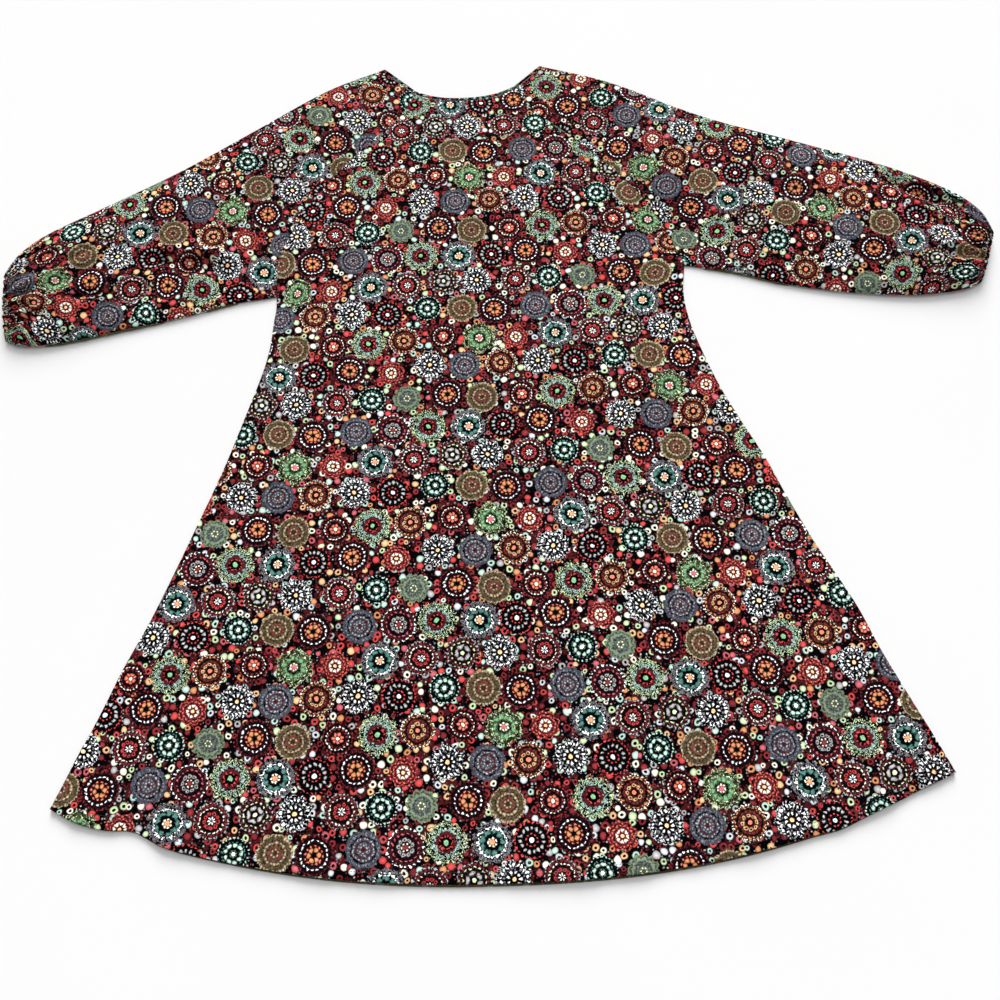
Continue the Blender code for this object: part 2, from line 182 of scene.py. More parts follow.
def curve_at(marks, distance):
    """Points on the smooth curve through the marks, at distances from its start."""
    marks = np.array(marks, float)
    along = lengths_along(marks)
    return np.stack([smooth_values(along, marks[:, k], distance) for k in (0, 1)], -1)


def curve_length(marks):
    """The curve's length, near enough: that of the straight steps between its marks."""
    return lengths_along(np.array(marks, float))[-1]


def moved_out(points, distance):
    """A line of points moved sideways, to the right of its direction."""
    ahead = np.concatenate([points[1:], points[-1:]])
    behind = np.concatenate([points[:1], points[:-1]])
    run = ahead - behind
    run = run / np.linalg.norm(run, axis=1)[:, None]
    return points + np.stack([run[:, 1], -run[:, 0]], -1) * distance


SIDE_LENGTH = curve_length(SIDE_SEAM)
print("side seam %.3f m, back raglan %.3f m" % (SIDE_LENGTH, curve_length(BACK_RAGLAN)))

# %% [markdown]
# ## From grids to cloth
# Each piece is a closed shell: an outer face, an inner face and an edge where the two meet in a
# half round, as a folded or cut edge of jersey does. Solidify could give the wall, but its edge
# would be a square cut. Here both faces come from one function, which closes them at the edge.
# Each face also keeps its place in the flat cut as a UV map named "cut", in metres, so that the
# print lies on the cloth as it was printed and is squeezed where the cloth is gathered.

# %% Mesh tools
ROUND_STEPS = [0.0, 0.10, 0.45, 1.0]   # shares of half a wall, at which an edge gets a row of points


def edge_roundness(distance, wall):
    """1 inside, falling to 0 at the edge as a half circle does."""
    near = np.clip(distance / (wall / 2), 0.0, 1.0)
    return np.sqrt(1 - (1 - near) ** 2)


def rows_between(length, step, marks=(), both=True):
    """Distances from 0 to length: even steps, extra marks, and close rows at the rounded edges."""
    inner = np.linspace(0.0, length, max(int(round(length / step)), 2) + 1)[1:-1]
    close = np.array(ROUND_STEPS) * WALL / 2
    ends = [close, length - close] if both else [close, [length]]
    found = np.concatenate([inner, np.array(marks, float)] + ends)
    found = np.unique(np.round(found, 7))
    keep = (found <= close[-1]) | (found >= close[-1] + step / 4)
    if both:
        keep &= (found >= length - close[-1]) | (found <= length - close[-1] - step / 4)
    return found[keep]


def grid_faces(index, places, flip):
    """Four-sided faces of a grid of vertex numbers, with the place in the cut of each corner."""
    corners = [(0, 0), (0, 1), (1, 1), (1, 0)]
    if flip:
        corners = corners[::-1]
    rows, columns = index.shape
    faces = []
    cuts = []
    for i, j in corners:
        faces.append(index[i:rows - 1 + i, j:columns - 1 + j].ravel())
        cuts.append(places[i:rows - 1 + i, j:columns - 1 + j].reshape(-1, 2))
    return np.stack(faces, 1), np.stack(cuts, 1)


UNDERARM_REACH = 0.030    # how far round an underarm its pull is felt
UNDERARM_PULLS = [((-0.251, 0.0), (0.006, -0.006)), ((0.251, 0.0), (0.005, 0.006))]


def nudged(points):
    """Points moved with both underarms, which were pulled a little aside as the dress was laid."""
    moved = points.copy()
    for (x, y), pull in UNDERARM_PULLS:
        away = np.hypot(points[:, 0] - x, points[:, 1] - y)
        moved[:, :2] += np.exp(-(away / UNDERARM_REACH) ** 2)[:, None] * pull
    return moved


def make_piece(name, points, parts):
    """A mesh object. Parts are (faces, places in the cut for each corner, material number)."""
    faces = []
    places = []
    slots = []
    for part_faces, part_places, slot in parts:
        faces += np.asarray(part_faces).tolist()
        places.append(np.asarray(part_places, np.float32).reshape(-1))
        slots += [slot] * len(part_faces)
    mesh = bpy.data.meshes.new(name)
    mesh.from_pydata(nudged(points).tolist(), [], faces)
    layer = mesh.uv_layers.new(name="cut")
    layer.data.foreach_set("uv", np.concatenate(places))
    mesh.polygons.foreach_set("material_index", slots)
    mesh.shade_smooth()
    mesh.update()
    piece = bpy.data.objects.new(name, mesh)
    bpy.context.scene.collection.objects.link(piece)
    shape = bmesh.new()
    shape.from_mesh(mesh)
    print("%s: %d faces, %.1f cm3" % (name, len(faces), shape.calc_volume(signed=True) * 1e6))
    shape.free()
    return piece


def wrapped(rings):
    """Rings of points or numbers, with the first of each one repeated at its end."""
    return np.concatenate([rings, rings[:, :1]], 1)


def on_side(side, points):
    """Points worked out for the right-hand side, mirrored if they belong on the left."""
    return points * (-1, 1, 1) if side == "left" else points


def closed_shell(name, outer, inner, places, slots, tube=False, flip=False):
    """Cloth from two grids of points that meet all round, or at the two open ends of a tube."""
    rows, columns = outer.shape[:2]
    out = np.arange(rows * columns).reshape(rows, columns)
    into = out.copy()
    free = (slice(1, -1), slice(None) if tube else slice(1, -1))
    into[free] = rows * columns + np.arange(into[free].size).reshape(into[free].shape)
    points = np.concatenate([outer.reshape(-1, 3), inner[free].reshape(-1, 3)])
    if tube:
        out, into = wrapped(out), wrapped(into)
    return make_piece(name, points, [grid_faces(out, places[0], flip) + (slots[0],),
                                     grid_faces(into, places[1], not flip) + (slots[1],)])


# %% [markdown]
# ## The body panels
# Back and front are cut alike: a row of the grid runs from side to side, level with one point of
# the side edge. Rows near the hem bow down with its curve, rows near the neck with the neckline.
# The sides of the hem lie a little wavy, because the cloth was laid down and not pulled straight.

# %% Plan of a panel


def hem_wave(x):
    """How far the hem's small waves drop it."""
    return sum(drop * np.exp(-((x - at) / reach) ** 2) for at, reach, drop in HEM_WAVES)


def edge_shift(y, share):
    """The cloth was laid by hand, so its two side edges are not quite mirror images."""
    within = np.clip(y, HEM_Y, 0.4)
    pulls = [smooth_values(*zip(*EDGE_SHIFTS[side]), within) for side in ("left", "right")]
    return pulls[0] * np.maximum(-share, 0.0) + pulls[1] * np.maximum(share, 0.0)


def panel_edge(raglan, distance):
    """A point of the right-hand edge at a distance up from the hem corner."""
    side = curve_at(SIDE_SEAM, np.clip(SIDE_LENGTH - distance, 0.0, SIDE_LENGTH))
    upper = curve_at(raglan, np.clip(distance - SIDE_LENGTH, 0.0, curve_length(raglan)))
    return np.where((distance < SIDE_LENGTH)[..., None], side, upper)


def panel_plan(raglan, neck, hem_drop, distance, share):
    """Plan position: distance up the side edge, share across from -1 to 1."""
    edge = panel_edge(raglan, distance)
    edge_x, edge_y = edge[..., 0], edge[..., 1]
    dip, power = neck
    hem_share = np.where(edge_y < 0, 1 - ease((edge_y - HEM_Y) / -HEM_Y), 0.0)
    neck_share = (np.maximum(edge_y, 0.0) / raglan[-1][1]) ** 3
    wave_share = np.maximum(1 + (HEM_Y - edge_y) / HEM_WAVE_HEIGHT, 0.0)
    x = edge_x * share + edge_shift(edge_y, share)
    hem = (HEM_DIP + hem_drop * hem_share) * (1 - np.abs(share) ** HEM_POWER) + HEM_LEAN * x
    bow = dip * (1 - np.abs(share) ** power)
    y = edge_y - hem * hem_share - bow * neck_share - hem_wave(x) * wave_share
    return x, y


# %% [markdown]
# ## How the back lies
# Pressed flat, a jersey still shows soft swells where air is trapped, shallow drag lines from the
# underarms, and short puckers along every seam, because the thread pulls the knit in. A cloth
# simulation would settle into ripples of its own. Placed one by one, each one lies where it shows.

# %% Swells, folds and puckers of the back
SWELLS = [                # place, reach to the side and up the dress, height
    (-0.02, 0.120, 0.110, 0.090, 0.0018),
    (0.06, -0.120, 0.120, 0.100, 0.0022),
    (-0.10, -0.330, 0.140, 0.110, 0.0024),
    (0.16, -0.470, 0.130, 0.100, 0.0022),
    (-0.428, -0.575, 0.026, 0.030, 0.0020),
    (-0.340, -0.630, 0.026, 0.030, 0.0014),
    (0.385, -0.630, 0.024, 0.030, 0.0018),
    (-0.170, -0.675, 0.050, 0.040, 0.0010),
    (0.060, -0.680, 0.060, 0.034, 0.0014),
    (0.250, -0.650, 0.040, 0.034, 0.0014),
]
BODY_FOLDS = [            # place, turn in degrees from the X axis, length, width, height
    (-0.222, -0.020, 62, 0.040, 0.006, 0.0012),
    (-0.205, 0.030, 128, 0.050, 0.007, 0.0010),
    (0.226, -0.012, 116, 0.038, 0.006, 0.0011),
    (0.210, 0.040, 50, 0.052, 0.007, 0.0009),
    (-0.385, -0.606, -28, 0.020, 0.0045, -0.0016),
    (-0.372, -0.617, -62, 0.016, 0.0040, -0.0014),
    (-0.430, -0.600, 12, 0.030, 0.007, 0.0014),
    (0.400, -0.610, 24, 0.026, 0.006, 0.0010),
    (0.352, -0.628, 70, 0.020, 0.005, -0.0009),
    (-0.330, -0.420, 66, 0.110, 0.016, 0.0011),
    (0.345, -0.470, 118, 0.110, 0.016, 0.0011),
    (-0.120, -0.610, 86, 0.080, 0.014, 0.0010),
    (0.110, -0.600, 95, 0.085, 0.015, 0.0011),
    (0.230, -0.560, 104, 0.090, 0.014, 0.0010),
    (-0.250, -0.590, 76, 0.080, 0.013, 0.0010),
    (0.020, 0.215, 4, 0.110, 0.012, 0.0007),
]
RIPPLES = 14
RIPPLE_HEIGHT = 0.00017
SEAM_PUCKER = 0.00028
PUCKER_PITCH = 0.0115
PUCKER_REACH = 0.007
NECK_CALM = 0.074         # the swells fade out this near to the neck
HEM_FADE = 0.14           # the hem's extra layer lifts the cloth over this distance
SEAM_CALM = 0.02          # the folds fade out this near to the seams


def turned(right, up, degrees):
    """A place as seen along and across a line that is turned by some degrees."""
    cosine, sine = math.cos(math.radians(degrees)), math.sin(math.radians(degrees))
    return right * cosine + up * sine, up * cosine - right * sine


def fold_height(x, y):
    """Soft ridges (or troughs, below zero) at listed spots of the back."""
    total = 0.0
    for right, up, turn, length, width, height in BODY_FOLDS:
        run, rise = turned(x - right, y - up, turn)
        total = total + height * np.exp(-(run / length) ** 2 - (rise / width) ** 2)
    return total


ripple_rng = random.Random(7)
RIPPLE_WAVES = []
for _ in range(RIPPLES):
    wave_length = ripple_rng.uniform(0.045, 0.16)
    heading = ripple_rng.uniform(0.0, math.pi)
    RIPPLE_WAVES.append((math.cos(heading) * 2 * math.pi / wave_length,
                         math.sin(heading) * 2 * math.pi / wave_length,
                         ripple_rng.uniform(0.0, 2 * math.pi)))


def ripple(x, y):
    """Unevenness all over, a fraction of a millimetre."""
    return RIPPLE_HEIGHT * sum(np.sin(x * a + y * b + c) for a, b, c in RIPPLE_WAVES)


def seam_pucker(run, away):
    """Short waves along a seam that fade away from it."""
    uneven = run + 0.0035 * np.sin(run * 61.0) + 0.002 * np.sin(run * 171.0 + 1.3)
    return SEAM_PUCKER * np.exp(-away / PUCKER_REACH) * np.sin(2 * math.pi * uneven / PUCKER_PITCH)


def swell_height(x, y):
    return sum(height * np.exp(-((x - right) / wide) ** 2 - ((y - up) / tall) ** 2)
               for right, up, wide, tall, height in SWELLS)


def back_level(distance, share):
    """Height of the back panel's underside over the table."""
    x, y = panel_plan(BACK_RAGLAN, BACK_NECK, 0.0, distance, share)
    length = SIDE_LENGTH + curve_length(BACK_RAGLAN)
    side_away = panel_edge(BACK_RAGLAN, distance)[..., 0] * (1 - np.abs(share))
    held = (1 - np.abs(share) ** 10) * (1 - ease((distance - length + NECK_CALM) / NECK_CALM))
    near_hem = 1 - ease((distance - HEM_TURN - HEM_STEP) / HEM_FADE)
    rise = swell_height(x, y) * held + HEM_EXTRA * near_hem
    loose = ease(side_away / SEAM_CALM) * ease((length - distance) / SEAM_CALM)
    rise = rise + (fold_height(x, y) + ripple(x, y)) * loose
    rise = rise + seam_pucker(distance, side_away) * ease((length - distance) / 0.01)
    rise = rise + seam_pucker(x * 1.1 + 0.3, distance) * 0.8       # along the hem, a little weaker
    return BACK_LEVEL + np.maximum(rise, 0.0)


def panel_grid(raglan, side_step, column_step):
    """The grid's two coordinates: distances up the edge, and shares across."""
    side = rows_between(SIDE_LENGTH, side_step, [HEM_TURN, HEM_TURN + HEM_STEP], both=False)
    upper = curve_length(raglan) - rows_between(curve_length(raglan), side_step, both=False)[::-1]
    distance = np.unique(np.round(np.concatenate([side, SIDE_LENGTH + upper]), 7))
    half = SIDE_SEAM[0][0]
    away = rows_between(half, column_step, both=False)
    share = np.concatenate([away / half - 1, (1 - away / half)[::-1]])
    return distance[:, None], np.unique(np.round(share, 7))[None, :]


def rounded_faces(x, y, level, wall, distance, share, raglan):
    """Upper and lower points of a panel, closed in a half round at its whole edge."""
    length = SIDE_LENGTH + curve_length(raglan)
    half = SIDE_SEAM[0][0]
    away = np.minimum(np.minimum(distance, length - distance), half * (1 - np.abs(share)))
    bulge = edge_roundness(away, WALL) * wall / 2
    middle = level + wall / 2
    x, y, middle, bulge = np.broadcast_arrays(x, y, middle, bulge)
    return np.stack([x, y, middle + bulge], -1), np.stack([x, y, middle - bulge], -1)


# %% Back panel


def make_panel(name, raglan, neck, hem_drop, steps, on_top, print_shift, slots):
    """One of the two panels; on top it lies as back_level says, or else flat on the table."""
    distance, share = panel_grid(raglan, *steps)
    x, y = panel_plan(raglan, neck, hem_drop, distance, share)
    wall = WALL + HEM_EXTRA * (1 - ease((distance - HEM_TURN) / HEM_STEP))
    level = back_level(distance, share) if on_top else 0.0
    upper, lower = rounded_faces(x, y, level, wall, distance, share, raglan)
    places = upper[..., :2] + print_shift
    return closed_shell(name, upper, lower, (places, places), slots)


back_panel = make_panel("cloth_back", BACK_RAGLAN, BACK_NECK, 0.0, (0.0052, 0.0031), True,
                        (0.0, 0.0), (0, 1))

# %% [markdown]
# The front lies face down under the back. Only its hem shows, as a line 2 or 3 mm wide, and the
# whole of it rests flat on the table, so its grid can be coarser and has no folds.

# %% Front panel
FRONT_PRINT_SHIFT = (0.083, 0.131)    # the front was cut from another part of the roll
front_panel = make_panel("cloth_front", FRONT_RAGLAN, FRONT_NECK, FRONT_HEM_DROP, (0.008, 0.006),
                         False, FRONT_PRINT_SHIFT, (1, 0))

# %% [markdown]
# ## The sleeves
# A raglan sleeve is one piece of cloth folded along its upper edge and closed by the underarm
# seam. Its wide end meets the slanting armhole and the neck, and its narrow end is drawn in by
# elastic. Each section is a flattened ring: flat below, where it rests, and puffed above. The
# elastic makes pleats that start together at the wrist and die away at different lengths.

# %% Sections of a sleeve
# Troughs, or ridges below zero. Shares of the sleeve's length and breadth, turn in degrees, then
# length, width and depth.
CREASES = {
    "left": [
        (0.13, 0.13, 12, 0.10, 0.031, 0.0022),
        (0.52, 0.16, 4, 0.13, 0.035, 0.0040),
        (0.80, 0.47, -8, 0.09, 0.029, 0.0050),
        (0.90, 0.22, 6, 0.07, 0.024, 0.0045),
    ],
    "right": [
        (0.11, 0.10, 14, 0.09, 0.029, 0.0020),
        (0.84, 0.60, -14, 0.10, 0.031, 0.0055),
        (0.90, 0.33, 4, 0.07, 0.024, 0.0040),
        (0.55, 0.55, -6, 0.12, 0.040, 0.0025),
    ],
}
FINE_CREASES = {
    "left": [
        (0.050, 0.040, 8, 0.060, 0.018, 0.0034),
        (0.045, 0.105, 38, 0.050, 0.009, 0.0024),
        (0.075, 0.150, 40, 0.055, 0.010, -0.0018),
        (0.110, 0.200, 34, 0.060, 0.011, 0.0014),
        (0.110, 0.100, 16, 0.070, 0.010, 0.0034),
        (0.340, 0.200, 18, 0.085, 0.013, 0.0070),
        (0.360, 0.224, 14, 0.036, 0.016, 0.0036),
        (0.350, 0.278, 18, 0.080, 0.013, -0.0058),
        (0.475, 0.325, 21, 0.070, 0.013, 0.0060),
        (0.485, 0.402, 21, 0.070, 0.013, -0.0042),
        (0.185, 0.082, 20, 0.080, 0.012, 0.0044),
        (0.195, 0.150, 20, 0.080, 0.012, -0.0036),
        (0.500, 0.350, 10, 0.060, 0.015, 0.0030),
        (0.720, 0.290, 14, 0.070, 0.013, 0.0054),
        (0.640, 0.560, -6, 0.090, 0.018, 0.0026),
        (0.780, 0.640, -12, 0.080, 0.016, 0.0034),
        (0.870, 0.730, -16, 0.050, 0.014, 0.0040),
        (0.930, 0.510, 32, 0.048, 0.014, 0.0076),
        (0.930, 0.350, 8, 0.050, 0.012, 0.0062),
        (0.900, 0.840, -8, 0.055, 0.013, 0.0034),
    ],
    "right": [
        (0.040, 0.095, 40, 0.050, 0.010, 0.0020),
        (0.080, 0.150, 42, 0.055, 0.011, -0.0014),
        (0.330, 0.200, 4, 0.110, 0.015, 0.0013),
        (0.520, 0.330, -6, 0.110, 0.016, 0.0014),
        (0.815, 0.830, -6, 0.085, 0.024, 0.0100),
        (0.900, 0.735, -80, 0.052, 0.021, 0.0095),
        (0.934, 0.540, -69, 0.045, 0.018, 0.0075),
        (0.840, 0.930, -8, 0.090, 0.016, -0.0034),
        (0.840, 0.640, -70, 0.060, 0.024, -0.0022),
        (0.700, 0.420, -16, 0.080, 0.014, 0.0018),
        (0.780, 0.300, 8, 0.070, 0.013, -0.0014),
        (0.870, 0.330, -14, 0.060, 0.014, 0.0036),
        (0.900, 0.180, 6, 0.060, 0.012, 0.0034),
    ],
}
GATHERS = 9
GATHER_HEIGHT = 0.0015
GATHER_START = 0.80
GATHER_FULL = 0.96
GATHER_FADE = 0.12
PUCKERS = 25              # short pleats between the gathers
PUCKER_HEIGHT = 0.0022
PUCKER_LENGTH = 0.15      # share of the sleeve's length that the longest ones reach
FULLNESS = 0.34           # how much more cloth than room there is at the elastic
SQUEEZE_START = 0.72      # where that begins, as a share of the sleeve's length
UPPER_ROWS = (28, 8)      # the frame's points along the back raglan and along the neck
UNDER_ROWS = (14, 4)


def crowded(even):
    """Places across the sleeve, closer together near its two edges."""
    rounded = (1 - np.cos(math.pi * even)) / 2
    return even + (rounded - even) * EDGE_CROWDING


def sleeve_row(side, along):
    """The section of a sleeve at a share of its length."""
    table = np.array(SLEEVES[side])
    return SleeveRow(*[smooth_values(table[:, 0], column, along) for column in table[:, 1:].T])


def armhole(side, share, raglan, rows):
    """Place on the edge of the armhole and neck at a share of the sleeve's breadth."""
    seam_rows, neck_rows = rows
    count = seam_rows + neck_rows
    index = np.interp(share, crowded(np.linspace(0, 1, count + 1)), np.arange(count + 1))
    fine = np.linspace(0, 1, 401)
    seam = moved_out(curve_at(raglan, curve_length(raglan) * fine), SEAM_GAP)
    at = np.clip(index / seam_rows, 0, 1)
    x = np.interp(at, fine, seam[:, 0])
    y = np.interp(at, fine, seam[:, 1])
    beyond = np.clip((index - seam_rows) / neck_rows, 0, 1)
    corner_x, corner_y = SHOULDER[side]
    return x + (corner_x - x) * beyond, y + (corner_y - y) * beyond


def crease_depth(side, along, across, creases, sharpness):
    """Troughs at listed spots; sharpness 2 has a round bottom, less than that a narrow one."""
    total = 0.0
    for lengthwise, sideways, turn, length, width, depth in creases[side]:
        run, rise = turned(along - lengthwise, (across - sideways) * BREADTH_RATIO, turn)
        total = total + depth * np.exp(-(run / length) ** 2 - np.abs(rise / width) ** sharpness)
    return total


def pucker_wave(side, wave):
    """The uneven short pleats at the elastic, across the sleeve."""
    shift = 0.7 if side == "left" else 2.1
    # The drift moves pleats to one side, and the swing makes some of them weaker.
    drift = 0.30 * np.sin(2 * math.pi * 2.3 * wave + shift) + 0.16 * np.sin(2 * math.pi * 5.1 * wave)
    swing = 0.72 + 0.28 * np.sin(2 * math.pi * 3.7 * wave + shift * 2)
    ridge = np.abs(np.cos(math.pi * (PUCKERS * wave + drift)))    # rounded ridges, sharp valleys
    return (ridge - 0.64) * swing


def gather_height(side, along, across, wave):
    """Broad gathers and short pleats, which grow towards the elastic."""
    grown = ease((along - GATHER_START) / (GATHER_FULL - GATHER_START))
    fade = ease(across / GATHER_FADE) * ease((1 - across) / GATHER_FADE)
    broad = GATHER_HEIGHT * np.cos(2 * math.pi * GATHERS * wave)
    reach = PUCKER_LENGTH * (0.62 + 0.38 * np.sin(2 * math.pi * 4.3 * wave + 0.9))
    short = PUCKER_HEIGHT * ease((along - 1 + reach) / reach) * 1.4
    return (broad * grown + short * pucker_wave(side, wave)) * fade


def sleeve_plan(side, along, share, raglan, rows, inset):
    """Plan position on a sleeve: the armhole's curve fades to straight lines along its length."""
    row = sleeve_row(side, along)
    start = sleeve_row(side, 0.0)
    held = inset + share * (1 - 2 * inset)
    seam_x, seam_y = armhole(side, held, raglan, rows)
    straight_x = start.under_x + (start.fold_x - start.under_x) * held
    straight_y = start.under_y + (start.fold_y - start.under_y) * held
    keep = (1 - along) ** ARMHOLE_FADE
    x = row.under_x + (row.fold_x - row.under_x) * held + (seam_x - straight_x) * keep
    y = row.under_y + (row.fold_y - row.under_y) * held + (seam_y - straight_y) * keep
    return x, y


def edge_level(row, share):
    """Height of the sleeve's edges, sinking towards the underarm seam."""
    return np.maximum(row.edge * (1 - UNDER_SINK * (1 - share) ** 4), LOWEST_EDGE)


def sleeve_face(side, along, upper_even, under_even, wall, inner):
    """Rings of points round the sleeve: over the top, then back underneath."""
    row = sleeve_row(side, along)
    breadth = np.hypot(row.fold_x - row.under_x, row.fold_y - row.under_y)
    inset = wall / breadth if inner else 0.0 * breadth
    lowered = wall if inner else 0.0
    share = crowded(upper_even)
    x, y = sleeve_plan(side, along, share, BACK_RAGLAN, UPPER_ROWS, inset)
    edge = edge_level(row, share)
    shape = (1 - np.abs(2 * share - 1) ** row.power) ** (1 / row.power)
    shape = shape * (1 - UNDER_SLOPE * np.exp(-share / SLOPE_REACH) * ease(along / 0.5))
    rise = (row.height - edge - lowered) * shape
    fold = crease_depth(side, along, share, CREASES, 2.0) * ease(along / ARMHOLE_HOLD)
    fold = fold + crease_depth(side, along, share, FINE_CREASES, 1.6) * ease(along / FINE_HOLD)
    from_edge = np.minimum(share, 1 - share)
    soft = ripple(x * 1.7, y * 1.7 + 0.2) * 0.8 * ease(along / 0.1)
    loose = gather_height(side, along, share, upper_even) - fold + soft
    rise = rise + loose * ease(from_edge / EDGE_HOLD)
    puckers = seam_pucker(share * ARMHOLE_LENGTH, along * SLEEVE_LENGTH)
    rise = rise + puckers * ease(from_edge / 0.03)
    lowest = np.minimum(edge + LAYER_REST * shape, WALL + SEAM_GAP + WALL - lowered)
    z = np.maximum(edge + rise, lowest)
    upper = np.stack(np.broadcast_arrays(x, y, z), -1)
    share = crowded(under_even)
    x, y = sleeve_plan(side, along, share, FRONT_RAGLAN, UNDER_ROWS, inset)
    bend = np.maximum((np.abs(2 * share - 1) - UNDER_FLAT) / (1 - UNDER_FLAT), 0.0)
    edge = edge_level(row, share)
    z = edge - (edge - lowered) * np.sqrt(1 - bend * bend)
    under = np.stack(np.broadcast_arrays(x, y, z), -1)
    return np.concatenate([upper, under[:, -2:0:-1]], 1)


# %% [markdown]
# The place in the cut is measured along the cloth, from the middle of the upper side outwards, so
# the print runs on round the folded edge. Near the wrist there is more cloth than room. There the
# places spread further than the points do, which squeezes the print into the pleats.

# %% Sleeve and casing meshes
UPPER_POINTS = 181        # points of a ring over the top, and underneath
UNDER_POINTS = 61
SLEEVE_END = 0.973        # shares of the length, either side of the seam gap
CASING_START = 0.975


def sleeve_places(rings, along, grain):
    """Place in the cut of each point: the plan, corrected by what the puffed cloth is longer."""
    fold = UPPER_POINTS - 1
    closed = wrapped(rings)
    step = np.diff(closed, axis=1)
    fullness = FULLNESS * ease((along - SQUEEZE_START) / (1 - SQUEEZE_START))
    extra_step = np.linalg.norm(step, axis=2) * (1 + fullness)
    extra_step = extra_step - np.linalg.norm(step[..., :2], axis=2)
    extra = np.concatenate([np.zeros((len(rings), 1)), np.cumsum(extra_step, 1)], 1)
    extra = extra - extra[:, fold // 2, None]
    across = rings[:, fold, :2] - rings[:, 0, :2]
    across = (across / np.linalg.norm(across, axis=1)[:, None])[:, None, :]
    plan = closed[..., :2] - rings[:, fold, None, :2]
    over = (plan * across).sum(-1, keepdims=True)
    behind = np.arange(closed.shape[1])[None, :, None] > fold
    plan = plan - across * over * 2 * behind       # underneath, the cloth runs on beyond the fold
    places = rings[:, fold, None, :2] + plan + across * extra[..., None]
    return np.stack([places @ np.array([grain[1], -grain[0]]), places @ np.array(grain)], -1)


def make_sleeve(name, side, start, end, wall, row_step):
    """The tube of cloth between two shares of a sleeve's length."""
    table = np.array(SLEEVES[side])
    middles = (table[:, 1:3] + table[:, 3:5]) / 2
    length = lengths_along(middles)[-1]
    rows = rows_between((end - start) * length, row_step)
    along = np.minimum(start + rows / length, 1.0)[:, None]
    upper_even = np.linspace(0, 1, UPPER_POINTS)[None, :]
    under_even = np.linspace(0, 1, UNDER_POINTS)[None, :]
    outer = sleeve_face(side, along, upper_even, under_even, wall, False)
    inner = sleeve_face(side, along, upper_even, under_even, wall, True)
    away = np.minimum(rows, rows[-1] - rows)
    middle = (outer + inner) / 2
    bulge = edge_roundness(away, WALL)[:, None, None]
    outer = on_side(side, middle + (outer - middle) * bulge)
    inner = on_side(side, middle + (inner - middle) * bulge)
    grain = middles[0] - middles[-1]
    grain = grain / np.linalg.norm(grain) * (-1 if side == "left" else 1, 1)
    places = [sleeve_places(face, along, grain) for face in (outer, inner)]
    return closed_shell(name, outer, inner, places, (0, 1), tube=True, flip=side == "right")


sleeves = {}
casings = {}
for side in ("left", "right"):
    sleeves[side] = make_sleeve("cloth_sleeve_" + side, side, 0.0, SLEEVE_END, WALL, row_step=0.0030)
    casings[side] = make_sleeve("cloth_casing_" + side, side, CASING_START, 1.0, CASING_WALL,
                                row_step=0.0011)

# %% [markdown]
# ## The neck binding
# A strip of the same jersey is folded over the raw neck edge and stitched down. Its section is a
# flat loop with round corners, swept along the back neck, round one shoulder, along the front
# neck underneath, and round the other shoulder.

# %% Neck binding
BINDING_SECTION = [(0.00, 0.30), (0.03, 0.82), (0.12, 1.00), (0.40, 1.10), (0.72, 1.08),
                   (0.93, 0.88), (1.00, 0.50), (0.93, 0.12), (0.72, 0.00), (0.40, 0.00),
                   (0.12, 0.00), (0.03, 0.10)]     # share of the width, share of the wall
BINDING_ROUND = 0.011     # length of cloth round that section
NECK_POINTS = 61


def shoulder_ring(side, inner):
    """The sleeve's own neck points at one shoulder, over the top and back underneath."""
    evens = []
    for rows, points in ((UPPER_ROWS, 30), (UNDER_ROWS, 20)):
        neck = np.linspace(rows[0], sum(rows), points)[1:] / sum(rows)
        evens.append(np.concatenate([[0.0], neck])[None, :])
    return sleeve_face(side, np.zeros((1, 1)), *evens, WALL, inner)[0][1:]


def shoulder_turn(side, away, lift):
    """The binding's own points round one shoulder, on the right-hand side of the dress."""
    turn = np.array(NECK_CORNER[side]) - SHOULDER[side]
    outside, inside = shoulder_ring(side, False), shoulder_ring(side, True)
    points = inside + (outside - inside) * min(lift, 1.0)
    points[:, :2] += turn / np.linalg.norm(turn) * away
    return points


def neck_row(raglan, neck, hem_drop):
    """Points along the neck edge of a panel."""
    share = np.linspace(-1, 1, NECK_POINTS)[None, :]
    top = np.array([[SIDE_LENGTH + curve_length(raglan)]])
    x, y = panel_plan(raglan, neck, hem_drop, top, share)
    return np.stack([x[0], y[0]], -1)


back_neck = neck_row(BACK_RAGLAN, BACK_NECK, 0.0)
front_neck = neck_row(FRONT_RAGLAN, FRONT_NECK, FRONT_HEM_DROP)
rings = []
for across, lift in BINDING_SECTION:
    away = BINDING_GAP + (BINDING_WIDTH - BINDING_GAP) * across
    over = moved_out(back_neck, -away)
    over = np.column_stack([over, np.full(len(over), BACK_LEVEL + WALL * lift)])
    below = moved_out(front_neck, -away)
    below = np.column_stack([below, np.full(len(below), WALL * (1 - min(lift, 1.0)))])
    right = shoulder_turn("right", away, lift)
    left = on_side("left", shoulder_turn("left", away, lift))[::-1]
    rings.append(np.concatenate([over, right, below[::-1], left]))
rings = np.array(rings + rings[:1])
run = lengths_along(wrapped(rings)[0])
turn = np.arange(len(rings)) / (len(rings) - 1) * BINDING_ROUND
places = np.stack(np.meshgrid(run, turn), -1)
count = rings.shape[1]
index = np.arange((len(rings) - 1) * count).reshape(-1, count)
index = wrapped(np.concatenate([index, index[:1]]))
neck_binding = make_piece("cloth_neck_binding", rings[:-1].reshape(-1, 3),
                          [grid_faces(index, places, False) + (0,)])
